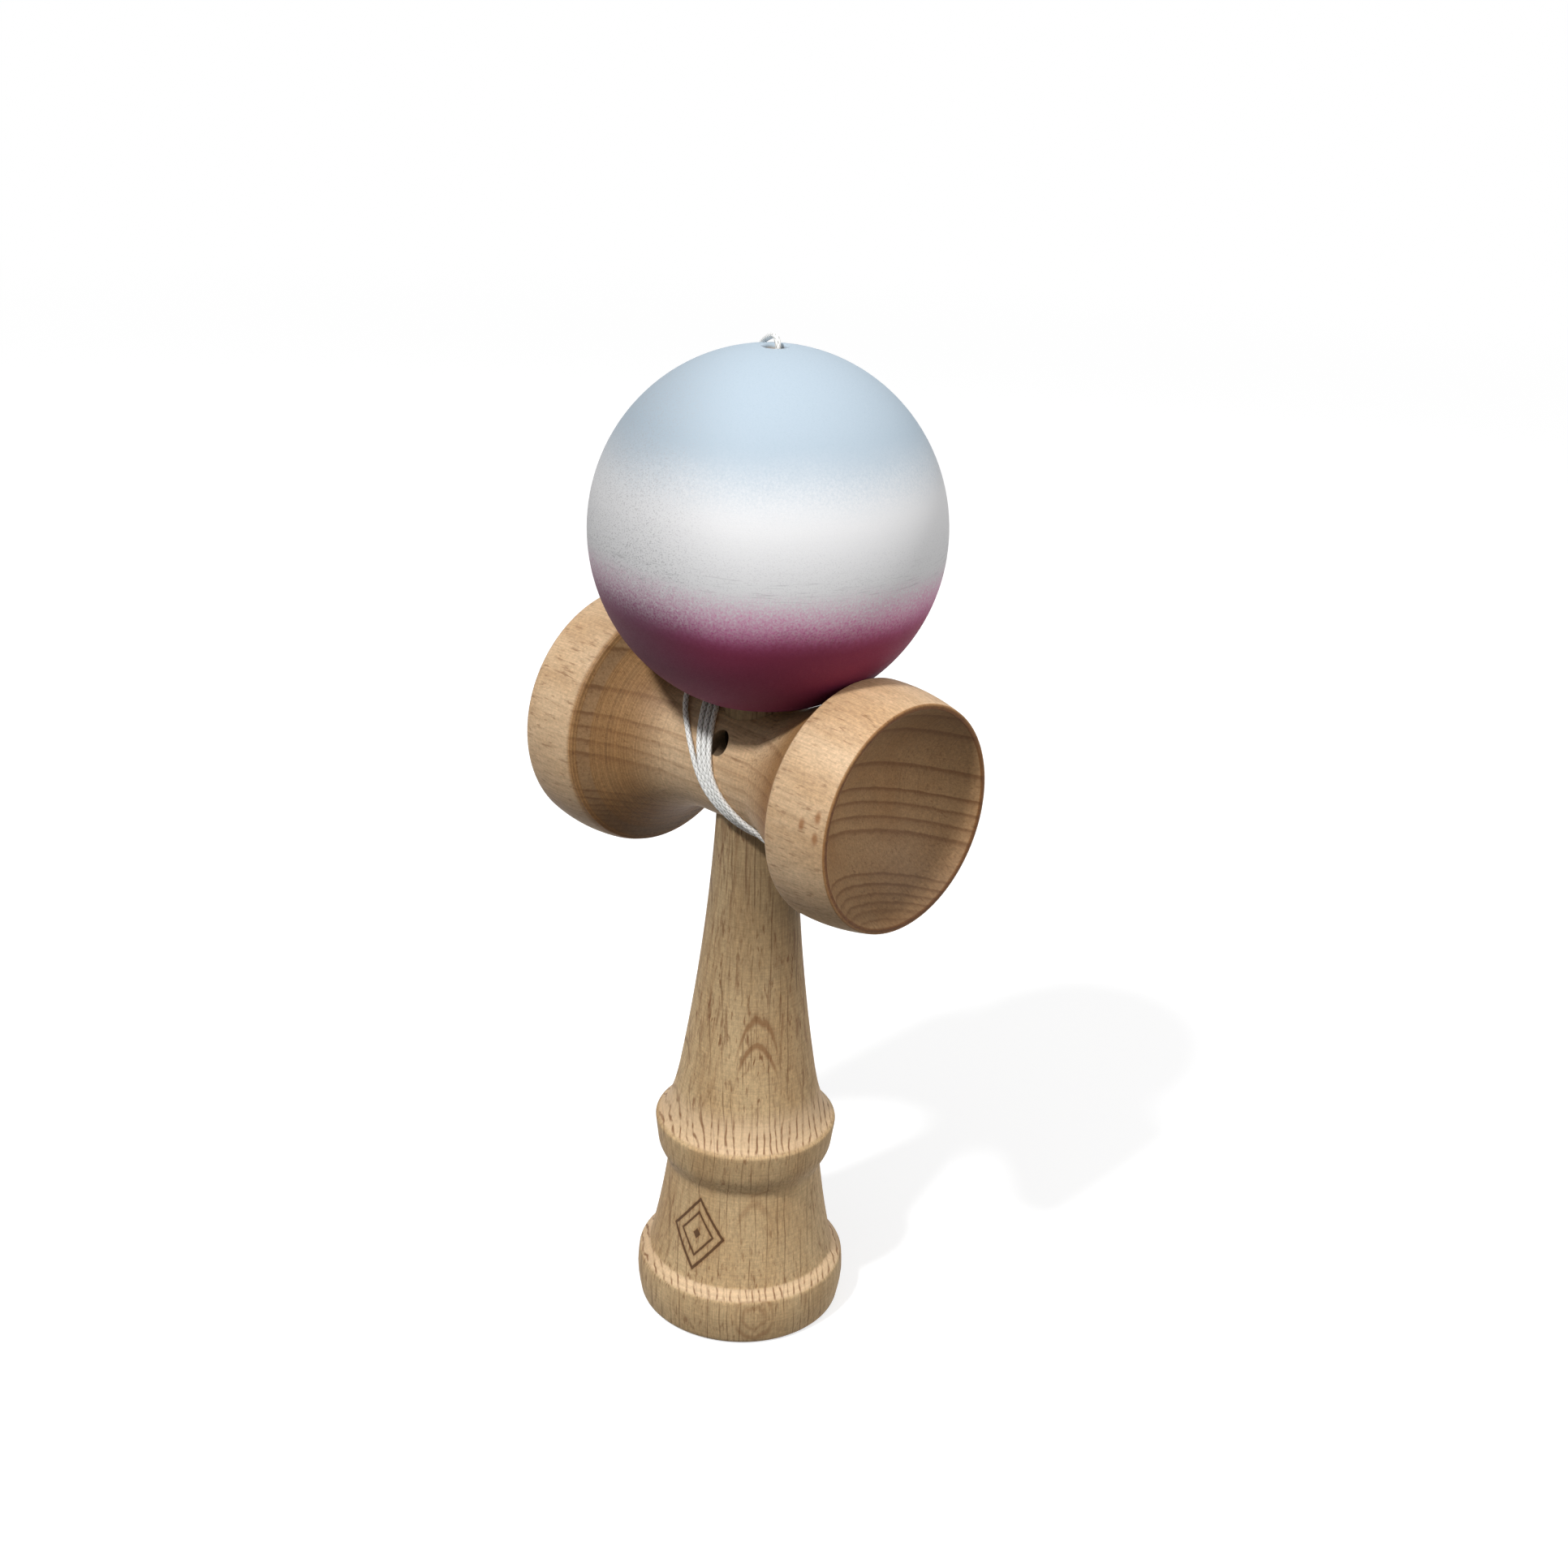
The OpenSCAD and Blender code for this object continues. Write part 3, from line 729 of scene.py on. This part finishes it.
woodFacts = {
    "light": tint(214, 184, 148), "warm": tint(196, 161, 122), "layer": tint(132, 92, 57), "ray": tint(108, 76, 46),
    "fleck": tint(120, 81, 49), "tone": (0.3, 0.72), "fibre": (0.27, 0.73, 0.83, 1.1),
    "mottle": (0.27, 0.73, 0.83, 1.12), "gloss": 0.3, "holeEdge": (0.02, 0.1),
    "reliefFibre": 0.5, "reliefMarks": 0.35, "reliefSunk": 0.5, "reliefDeep": 0.0002}
kenWood = {**woodFacts, "light": tint(200, 172, 131), "warm": tint(184, 152, 110)}


def woodColour(b, figure, layers, layerShare, rayShare, fleckShare, facts=woodFacts):
    colour = b.blend(b.step(figure["Tone"], *facts["tone"]), facts["light"], facts["warm"])
    colour = b.shade(colour, b.step(figure["Fibre"], *facts["fibre"]))
    colour = b.shade(colour, b.step(figure["Mottle"], *facts["mottle"]))
    colour = b.blend(b.times(layers, layerShare), colour, facts["layer"])
    colour = b.blend(b.times(figure["Ray"], rayShare), colour, facts["ray"])
    return b.blend(b.times(figure["Fleck"], fleckShare), colour, facts["fleck"])


def woodRelief(b, figure, marks, strength):
    f = woodFacts
    height = b.scaled(figure["Fibre"], f["reliefFibre"], b.times(marks, f["reliefMarks"]))
    height = b.less(height, b.times(b.most(figure["Fleck"], figure["Ray"]), f["reliefSunk"]))
    return b.bump(height, strength, f["reliefDeep"])


def shadeHole(b, colour, x, z, radius, height, dark):
    # painted shade on the wall of a cross hole
    away = b.length(b.join(x, 0.0, b.less(z, height)))
    return b.shade(colour, b.step(away, *[radius + edge for edge in woodFacts["holeEdge"]], dark, 1.0))


motifFacts = {
    "azimuth": -77.0, "height": 20.2, "wide": 5.3, "tall": 6.8, "radius": 15.6, "ragged": 0.05, "edge": 0.02, "halo": 0.12,
    "rings": [(1.0, 0.062), (0.62, 0.05), (0.0, 0.15)], "deep": 3.0,
    "burnt": tint(74, 46, 22), "burntShare": 0.92, "scorched": tint(150, 104, 60), "scorchedShare": 0.35}
kenLayers = {
    "ringsFace": -36.0, "low": -22.0, "high": 22.0, "faceLow": 9.0, "faceHigh": 20.0,
    "bow": 560.0, "bowPower": 4.0, "bowEnd": 1300.0, "archFade": 0.42, "archHalf": 4.4, "archSoft": 2.0, "archRest": 0.1,
    "lines": [(-19, 0.4), (-17.2, 0.3), (-15.1, 0.5), (-12.6, 0.3), (-10.8, 0.5), (-8.1, 0.35), (-6.9, 0.45), (-4.2, 0.35),
              (-1.6, 0.3), (1.3, 0.4), (3.4, 0.3), (5.4, 0.35), (7.0, 0.25)],
    "faceLines": [(10.27, 1.0), (10.97, 1.0), (14.35, 0.4), (18.95, 0.7), (19.3, 0.6)]}
kenLook = {
    "figure": {"Layer_Drift": 0.8, "Ray_Step": 1.65, "Ray_Length": 9.0, "Seed": 3.0}, "fineness": 2.6,
    # heights where each ledge begins and ends
    "baseLedge": ((9.3, 9.8), (11.4, 10.8)), "collarLedge": ((38.6, 39.2), (47.0, 42.0)),
    "layerShare": 0.8, "rayShare": (0.35, 0.62), "fleckShare": (30.0, 60.0, 0.72, 0.92),
    "streak": (0.9, 1.3, 0.075), "streakAt": (2, 5, 0), "streakShown": (0.54, 0.7), "streakShare": (34.0, 56.0, 0.3, 0.58),
    "ledgePale": tint(226, 196, 160), "ledgePaleShare": 0.55,
    "hatchStep": 1.3, "hatchSway": (0.25, 0.25, 0.1), "hatchSwayBy": 1.5, "hatchHalf": (0.2, 0.05),
    "hatchBreak": (0.5, 0.9, 0.5), "hatchShown": (0.36, 0.58, 0.25, 1.0), "hatchShare": 0.85,
    "shadeUnderCups": (52.0, 98.0, 1.03, 0.7), "holeShadeLevel": 0.3, "marks": (0.3, 0.72, 0.95, 1.06),
    "rough": (0.2, 0.8, 0.7, 0.56), "relief": 0.16}


def burnMotif(b, v, colour):
    # burnt motif on the neck: nested diamonds round a dot
    f = motifFacts
    x, y, z = b.parts(b.turned(v, -f["azimuth"]))
    across = b.times(b.calc("ARCTAN2", y, x), f["radius"])
    spread = b.scaled(b.calc("ABSOLUTE", across), 1 / f["wide"], b.calc("DIVIDE", b.apart(z, f["height"]), f["tall"]))
    ragged = b.scaled(b.noise(v, 1.4), f["ragged"], b.less(spread, f["ragged"] / 2))
    burnt = scorched = 0.0
    for middle, width in f["rings"]:
        away = b.apart(ragged, middle)
        burnt = b.most(burnt, b.step(away, width + f["edge"], width - f["edge"]))
        scorched = b.most(scorched, b.step(away, width + f["halo"], width))
    colour = b.blend(b.times(scorched, f["scorchedShare"]), colour, f["scorched"])
    return b.blend(b.times(burnt, f["burntShare"]), colour, f["burnt"]), burnt


def kenMaterial():
    b, finish = newMaterial("kenBeech")
    f, look = kenLayers, kenLook
    v = millimetres(b)
    x, _, z = b.parts(v)
    rings = b.turned(v, -f["ringsFace"])
    acrossFace = b.parts(rings)[1]
    figure = useGroup(b, figureGroup, Vector=rings, **look["figure"])
    marks = useGroup(b, marksGroup, Along=z, Fineness=look["fineness"])["Mark"]
    # the layers bow round the face towards the camera, so they come out there as narrow arches
    side = b.calc("ABSOLUTE", acrossFace)
    bowed = b.calc("MINIMUM", b.calc("POWER", side, f["bowPower"]), f["bowEnd"])
    place = b.less(figure["Place"], b.calc("DIVIDE", bowed, f["bow"]))
    layers = b.drawn(place, f["low"], f["high"], f["lines"])
    arches = b.drawn(place, f["faceLow"], f["faceHigh"], f["faceLines"], f["archFade"])
    arches = b.times(arches, b.step(side, f["archHalf"], f["archHalf"] - f["archSoft"], f["archRest"], 1.0))
    layers = b.most(layers, arches)
    # the rays show most on the two ledges, where the lathe cut across them
    ledges = (look["baseLedge"], look["collarLedge"])
    onLedge = b.most(*[b.times(b.step(z, *start), b.step(z, *end)) for start, end in ledges])
    rayShare = b.scaled(onLedge, *look["rayShare"])
    colour = woodColour(b, figure, layers, look["layerShare"], rayShare, b.step(z, *look["fleckShare"]), kenWood)
    streak = b.noise(b.stretch(rings, look["streak"], look["streakAt"]), 1.0, 3.0, 0.6, 0.4)
    streak = b.step(streak, *look["streakShown"], 0.0, b.step(z, *look["streakShare"]))
    colour = b.blend(streak, colour, kenWood["fleck"])
    # on the ledges the wood is paler and hatched by the rays' ends
    colour = b.blend(b.times(onLedge, look["ledgePaleShare"]), colour, look["ledgePale"])
    uneven = b.noise(b.stretch(rings, look["hatchSway"]))
    lane = b.calc("FRACT", b.scaled(uneven, look["hatchSwayBy"], b.calc("DIVIDE", acrossFace, look["hatchStep"])))
    hatch = b.step(b.apart(lane, 0.5), *look["hatchHalf"])
    hatch = b.times(hatch, b.step(b.noise(b.stretch(rings, look["hatchBreak"])), *look["hatchShown"]))
    colour = b.blend(b.times(b.times(hatch, onLedge), look["hatchShare"]), colour, kenWood["fleck"])
    # painted shade: the upper body is darker, under the cups and the ball
    colour = b.shade(colour, b.step(z, *look["shadeUnderCups"]))
    colour = shadeHole(b, colour, x, z, kenFacts["hole"], kenFacts["holeHeight"], look["holeShadeLevel"])
    colour = b.shade(colour, b.step(marks, *look["marks"]))
    colour, burnt = burnMotif(b, v, colour)
    relief = woodRelief(b, figure, b.less(marks, b.times(burnt, motifFacts["deep"])), look["relief"])
    return finish(colour, b.step(figure["Fibre"], *look["rough"]), relief, kenWood["gloss"])


saradoLayers = {
    "low": -25.0, "high": 25.0, "lean": 0.22, "fade": 2.3,
    "lines": [(-21.8, 0.6), (-20.6, 0.55), (-19.4, 0.6), (-18.3, 0.65), (-17.2, 0.6), (-16.2, 0.8), (-15.0, 0.8),
              (-13.65, 0.9), (-12.1, 0.8), (-5.1, 0.9), (-2.75, 0.85), (-0.1, 0.85), (2.35, 0.95), (7.2, 0.95),
              (14.2, 0.9), (17.6, 0.7), (21, 0.6)],
    "flecks": [(29.96, -20.25, 112.34), (32.6, -19.4, 114.02), (32.68, -19.99, 110.6)], "fleckHalf": (0.62, 1.6, 1.2)}
saradoLook = {
    "figure": {"Layer_Drift": 1.1, "Ray_Step": 1.5, "Ray_Length": 3.6, "Seed": 11.0}, "fineness": 2.2,
    # reach from the axis and place along it where each cup's band and hollow begin, the small cup's first
    "bands": (((19.2, 19.6), (21.8, 22.6)), ((21.6, 22.0), (-24.4, -25.2))),
    "hollows": (((18.95, 18.75), (22.4, 22.6)), ((21.45, 21.25), (-22.4, -22.6))), "mouth": 21.45,
    "necks": (8.0, 19.0), "rimSoft": (0.35, 0.1),
    "layerShare": {"waist": 0.34, "band": -0.2, "neck": 0.14, "hollow": 0.29},
    "rayShare": (-0.2, 0.28), "fleckShare": (0.2, 0.4),
    "endGrainAndShade": tint(186, 166, 138), "endGrainAndShadeLess": -0.18, "lip": tint(196, 172, 142),
    "marks": (0.3, 0.72), "marksDark": (0.035, 0.96), "marksLight": (-0.035, 1.05), "marksLess": (-0.75, 1.0),
    "toolHalf": (0.035, 0.005), "toolLight": 0.42,
    "holeShade": (113.6, 115.8, 0.3, 0.75), "hollowLow": (110.0, 94.0, 0.0, -0.2), "hollowHigh": (114.0, 124.0, 0.0, -0.12),
    "under": (102.0, 88.0, 1.0, 0.72), "fleck": tint(146, 98, 60), "fleckSoft": (1.25, 0.3, 0.0, 0.8),
    "rough": (0.2, 0.8, 0.68, 0.54), "relief": 0.18}


def saradoMaterial():
    b, finish = newMaterial("saradoBeech")
    f, look = saradoLayers, saradoLook
    v = millimetres(b)
    x, y, z = b.parts(v)
    high = b.less(z, saradoFacts["centre"][2])
    # grain along X, growth layers across Z with a lean towards Y
    lying = b.join(b.scaled(y, f["lean"], high), y, x)
    figure = useGroup(b, figureGroup, Vector=lying, **look["figure"])
    layers = b.drawn(figure["Place"], f["low"], f["high"], f["lines"], f["fade"])
    marks = useGroup(b, marksGroup, Along=x, Fineness=look["fineness"])["Mark"]
    # bands, hollows, necks and rims
    out = b.length(b.join(0.0, y, high))
    onBand, inCup = [b.most(*[b.times(b.step(out, *reach), b.step(x, *along)) for reach, along in look[part]])
                     for part in ("bands", "hollows")]
    inCup = b.times(inCup, b.calc("LESS_THAN", out, look["mouth"]))
    neck = b.times(b.step(b.calc("ABSOLUTE", x), *look["necks"]), b.less(1.0, onBand))
    across = b.most(neck, inCup)
    smallRim, bigRim = saradoFacts["small"]["reach"], saradoFacts["big"]["reach"]
    onRim = b.most(b.step(x, *[smallRim - soft for soft in look["rimSoft"]]),
                   b.step(x, *[soft - bigRim for soft in look["rimSoft"]]))
    # the hollows show layers most, the bands flecks
    share = look["layerShare"]
    layerShare = b.scaled(neck, share["neck"], b.scaled(onBand, share["band"], share["waist"]))
    layerShare = b.scaled(inCup, share["hollow"], layerShare)
    rayShare = b.scaled(b.most(across, onBand), *look["rayShare"])
    colour = woodColour(b, figure, layers, layerShare, rayShare, b.scaled(onBand, *look["fleckShare"]))
    # necks and hollows are stained darker, partly the end grain's own colour and partly painted shade
    colour = b.stain(b.scaled(inCup, look["endGrainAndShadeLess"], across, clamp=True), colour, look["endGrainAndShade"])
    colour = b.stain(onRim, colour, look["lip"])
    dark, light = b.scaled(onBand, *look["marksDark"]), b.scaled(onBand, *look["marksLight"])
    colour = b.shade(colour, b.step(marks, *look["marks"], dark, light))
    toolLine = b.times(b.step(b.apart(marks, 0.5), *look["toolHalf"]), b.less(neck, inCup, clamp=True))
    colour = b.shade(colour, b.scaled(toolLine, look["toolLight"], 1.0))
    # painted shade in the cross hole, deepest at its bottom
    colour = shadeHole(b, colour, x, z, saradoFacts["hole"], saradoFacts["holeHeight"], b.step(z, *look["holeShade"]))
    # painted shade: the hollows are darker above and below, and so is the underside
    inShade = b.calc("ADD", b.step(z, *look["hollowLow"]), b.step(z, *look["hollowHigh"]))
    colour = b.shade(colour, b.scaled(inCup, inShade, 1.0))
    colour = b.shade(colour, b.step(z, *look["under"]))
    for place in f["flecks"]:
        away = b.stretch(b.stretch(v, (1, 1, 1), tuple(-c for c in place)), tuple(1 / c for c in f["fleckHalf"]))
        colour = b.blend(b.step(b.length(away), *look["fleckSoft"]), colour, look["fleck"])
    relief = woodRelief(b, figure, b.times(marks, b.scaled(onBand, *look["marksLess"])), look["relief"])
    return finish(colour, b.step(figure["Fibre"], *look["rough"]), relief, woodFacts["gloss"])


paintFacts = {
    "white": tint(236, 236, 237), "blue": tint(175, 190, 202), "maroon": tint(132, 48, 78), "pink": tint(224, 128, 182),
    "mauve": tint(78, 52, 66), "grime": tint(164, 162, 166),
    # the worn side, how much lower the pink begins there, and how much darker that side is, partly dirt and partly
    # painted shade
    "wornAndShadedWay": (-0.7206, -0.6934), "worn": (4.0, 22.0), "wornLower": -0.9, "wornSideDirtAndShade": (2.0, 28.0, 1.0, 0.78),
    "blueCoat": {"Bare": 157.2, "Full": 169.8, "Dots": 0.7, "Size": 2.6},
    "pinkCoat": {"Bare": 149.1, "Full": 138.0, "Dots": 1.6, "Size": 2.6},
    "deepCoat": {"Bare": 144.5, "Full": 136.3, "Dots": 0.6, "Size": 1.6},
    "mauveFrom": (150.0, 141.0), "mauveShare": 0.65, "speck": (1, 1, 1.4), "speckSize": 3.3,
    "speckShade": (0.2, 0.8, 0.94, 1.03), "dirtShown": (0.5, 0.66), "dirtWorn": 0.5, "dirtLow": (158.0, 150.0, 0.1, 0.32),
    "scuff": (0.16, 0.16, 3.2), "scuffShown": (0.55, 0.68), "scuffFrom": (145.0, 148.0), "scuffTo": (152.0, 149.5),
    "scuffShare": 0.5, "under": (137.0, 124.0, 1.0, 0.66), "bareEdge": (0.1, -0.8), "bareRagged": 1.2,
    "boreFigure": {"Layer_Drift": 2.0, "Ray_Step": 1.6, "Ray_Length": 5.0, "Seed": 7.0},
    "fineness": 1.5, "rough": (0.25, 0.75, 0.74, 0.6), "gloss": 0.22,
    "grain": 0.6, "marks": 0.25, "relief": 0.14, "deep": 0.0002}


def tamaMaterial():
    b, finish = newMaterial("tamaPaint")
    f = paintFacts
    v = millimetres(b)
    x, y, z = b.parts(v)
    side = b.calc("ADD", b.times(x, f["wornAndShadedWay"][0]), b.times(y, f["wornAndShadedWay"][1]))
    worn = b.step(side, *f["worn"])
    low = b.scaled(worn, f["wornLower"], z)
    blue = useGroup(b, sprayGroup, Vector=v, Height=z, **f["blueCoat"])["Cover"]
    pink = useGroup(b, sprayGroup, Vector=v, Height=low, **f["pinkCoat"])["Cover"]
    deep = useGroup(b, sprayGroup, Vector=v, Height=low, **f["deepCoat"])["Cover"]
    mauve = b.times(worn, b.step(z, *f["mauveFrom"]))
    speck = b.noise(b.stretch(v, f["speck"]), f["speckSize"], 2.0, 0.8)
    colour = b.blend(blue, f["white"], f["blue"])
    # grime: grey specks towards the worn side, and thin scuffs round the ball above the fade
    scuff = b.step(b.noise(b.stretch(v, f["scuff"]), 1.0, 3.0, 0.7), *f["scuffShown"])
    scuff = b.times(scuff, b.times(b.step(z, *f["scuffFrom"]), b.step(z, *f["scuffTo"])))
    dirt = b.times(b.step(speck, *f["dirtShown"]), b.scaled(worn, f["dirtWorn"], b.step(z, *f["dirtLow"])))
    colour = b.blend(b.most(dirt, b.times(scuff, f["scuffShare"])), colour, f["grime"])
    coat = b.blend(deep, f["pink"], f["maroon"])
    coat = b.blend(b.times(mauve, f["mauveShare"]), coat, f["mauve"])
    colour = b.blend(pink, colour, coat)
    colour = b.shade(colour, b.step(speck, *f["speckShade"]))
    # that side is darker all over, partly dirt and partly painted shade
    colour = b.shade(colour, b.step(side, *f["wornSideDirtAndShade"]))
    # painted shade: the lower ball is darker
    colour = b.shade(colour, b.step(z, *f["under"]))
    # bare wood inside the bore, with a ragged edge of spray on the mouth's bevel
    flat = tamaFacts["radius"] / tamaFacts["halfHeight"]
    reach = b.length(b.stretch(v, (1, 1, flat), (0, 0, -tamaFacts["centreHeight"] * flat)))
    ragged = b.scaled(b.noise(v, 0.9, 3.0), f["bareRagged"], reach)
    bare = b.step(ragged, *[tamaFacts["radius"] + edge for edge in f["bareEdge"]])
    wood = useGroup(b, figureGroup, Vector=v, **f["boreFigure"])
    colour = b.blend(bare, colour, woodColour(b, wood, 0.0, 0.5, 0.5, 0.5))
    marks = useGroup(b, marksGroup, Along=z, Fineness=f["fineness"])["Mark"]
    relief = b.scaled(b.noise(v, 4.5, 2.0, 0.6), f["grain"], b.times(marks, f["marks"]))
    return finish(colour, b.step(speck, *f["rough"]), b.bump(relief, f["relief"], f["deep"]), f["gloss"])


beadFacts = {
    "figure": {"Layer_Drift": 1.2, "Ray_Step": 1.2, "Ray_Length": 3.0, "Seed": 5.0}, "fineness": 4.0,
    "low": -5.0, "high": 5.0, "lines": [(-3.4, 0.7), (-1.8, 0.6), (0.2, 0.8), (1.9, 0.6), (3.3, 0.7)],
    "shares": (0.6, 0.5, 0.5), "rough": (0.2, 0.8, 0.66, 0.5), "relief": 0.12}


def beadMaterial():
    b, finish = newMaterial("beadWood")
    f = beadFacts
    v = millimetres(b)
    figure = useGroup(b, figureGroup, Vector=v, **f["figure"])
    marks = useGroup(b, marksGroup, Along=b.parts(v)[2], Fineness=f["fineness"])["Mark"]
    layers = b.drawn(figure["Place"], f["low"], f["high"], f["lines"])
    colour = woodColour(b, figure, layers, *f["shares"])
    return finish(colour, b.step(figure["Fibre"], *f["rough"]), woodRelief(b, figure, marks, f["relief"]))


braidFacts = {
    "white": tint(247, 247, 244), "crease": tint(158, 158, 154), "creaseWide": 0.2, "strands": 4.0, "pitch": 1.3,
    "rough": (0.0, 0.6, 0.65, 0.45), "relief": 0.4, "deep": 0.00015}


def stringMaterial():
    b, finish = newMaterial("whiteString")
    f = braidFacts
    spot = b.put("ShaderNodeUVMap")
    spot.uv_map = "UVMap"
    along, around = b.parts(spot.outputs[0])[:2]
    lane = b.times(around, f["strands"])
    pitch = b.calc("DIVIDE", along, f["pitch"])
    # strands that run round both ways
    one, two = [b.calc("ABSOLUTE", b.calc("SINE", b.times(b.calc(way, lane, pitch), math.pi)))
                for way in ("ADD", "SUBTRACT")]
    weave = b.times(one, two)
    # painted shade in the creases between the strands
    colour = b.blend(b.step(weave, 0.0, f["creaseWide"]), f["crease"], f["white"])
    return finish(colour, b.step(weave, *f["rough"]), b.bump(weave, f["relief"], f["deep"]))


def dress(piece, material):
    piece.data.materials.clear()
    piece.data.materials.append(material)


dress(ken, kenMaterial())
dress(sarado, saradoMaterial())
dress(tama, tamaMaterial())
whiteString = stringMaterial()
for cordPiece in (string, stringInside, anchorKnot, beadKnot):
    dress(cordPiece, whiteString)
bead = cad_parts["string_bead"]
beadWood = beadMaterial()
for slot in bead.material_slots:
    slot.material = beadWood
print("materials on")


# floor and light

stageFacts = {
    "floor": 60.0, "paper": tint(84, 82, 80), "shown": tint(196, 196, 196), "glow": 0.63, "nearEdge": 0.3, "farEdge": 1.3,
    "aim": (0, 0, 0.1), "sky": 0.21,
    "key": {"place": (0.12, -1.057, 1.43), "size": 0.17, "power": 23.4},
    "top": {"place": (0.2, -0.2, 1.5), "size": 1.6, "power": 6.6},
    "side": {"place": (1.3, 0.25, 0.9), "size": 1.0, "power": 9.6}}

bpy.ops.mesh.primitive_plane_add(size=stageFacts["floor"], location=(0, 0, 0))
floor = bpy.context.object
floor.name = floor.data.name = "paperFloor"


def seenPlainly(b):
    # 1 where the camera, a mirror or glass shows the surface, 0 where it only gives light
    ray = b.put("ShaderNodeLightPath").outputs
    return b.most(b.most(ray["Is Camera Ray"], ray["Is Glossy Ray"]), ray["Is Transmission Ray"])


def mixShaders(b, amount, first, second):
    node = b.put("ShaderNodeMixShader", Fac=amount)
    b.feed(node.inputs[1], first.outputs[0])
    b.feed(node.inputs[2], second.outputs[0])
    return node


def floorMaterial():
    material, b, out = emptyMaterial("palePaper")
    f = stageFacts
    paper = b.put("ShaderNodeBsdfDiffuse", Color=f["paper"])
    # seen by the camera, the paper is pale with the shadow near the toy, and plain white further off
    pale = b.put("ShaderNodeBsdfDiffuse", Color=f["shown"])
    glow = b.put("ShaderNodeEmission", Color=(1, 1, 1, 1), Strength=f["glow"])
    white = b.put("ShaderNodeEmission", Color=(1, 1, 1, 1), Strength=1.0)
    lit = b.put("ShaderNodeAddShader")
    b.feed(lit.inputs[0], pale.outputs[0])
    b.feed(lit.inputs[1], glow.outputs[0])
    reach = b.length(b.put("ShaderNodeTexCoord").outputs["Object"])
    shown = mixShaders(b, b.step(reach, f["nearEdge"], f["farEdge"]), lit, white)
    b.feed(out.inputs[0], mixShaders(b, seenPlainly(b), paper, shown).outputs[0])
    return material


dress(floor, floorMaterial())


def aimedLight(name, facts, shape):
    bpy.ops.object.light_add(type="AREA", location=facts["place"])
    lamp = bpy.context.object
    lamp.name = name
    lamp.data.shape = shape
    lamp.data.size = facts["size"]
    lamp.data.energy = facts["power"]
    lamp.rotation_euler = (Vector(stageFacts["aim"]) - Vector(facts["place"])).to_track_quat("-Z", "Y").to_euler()


aimedLight("softKey", stageFacts["key"], "DISK")
aimedLight("softTop", stageFacts["top"], "SQUARE")
aimedLight("softSide", stageFacts["side"], "SQUARE")

world = bpy.data.worlds.new("paleRoom")
bpy.context.scene.world = world
world.use_nodes = True
world.node_tree.nodes.clear()
room = Bench(world.node_tree)
roomOut = room.put("ShaderNodeOutputWorld")
sky = room.put("ShaderNodeBackground", Color=(1, 1, 1, 1), Strength=stageFacts["sky"])
white = room.put("ShaderNodeBackground", Color=(1, 1, 1, 1), Strength=1.0)
room.feed(roomOut.inputs[0], mixShaders(room, seenPlainly(room), sky, white).outputs[0])
bpy.context.scene.view_settings.view_transform = "Standard"
print("floor and light set")

bpy.context.view_layer.update()
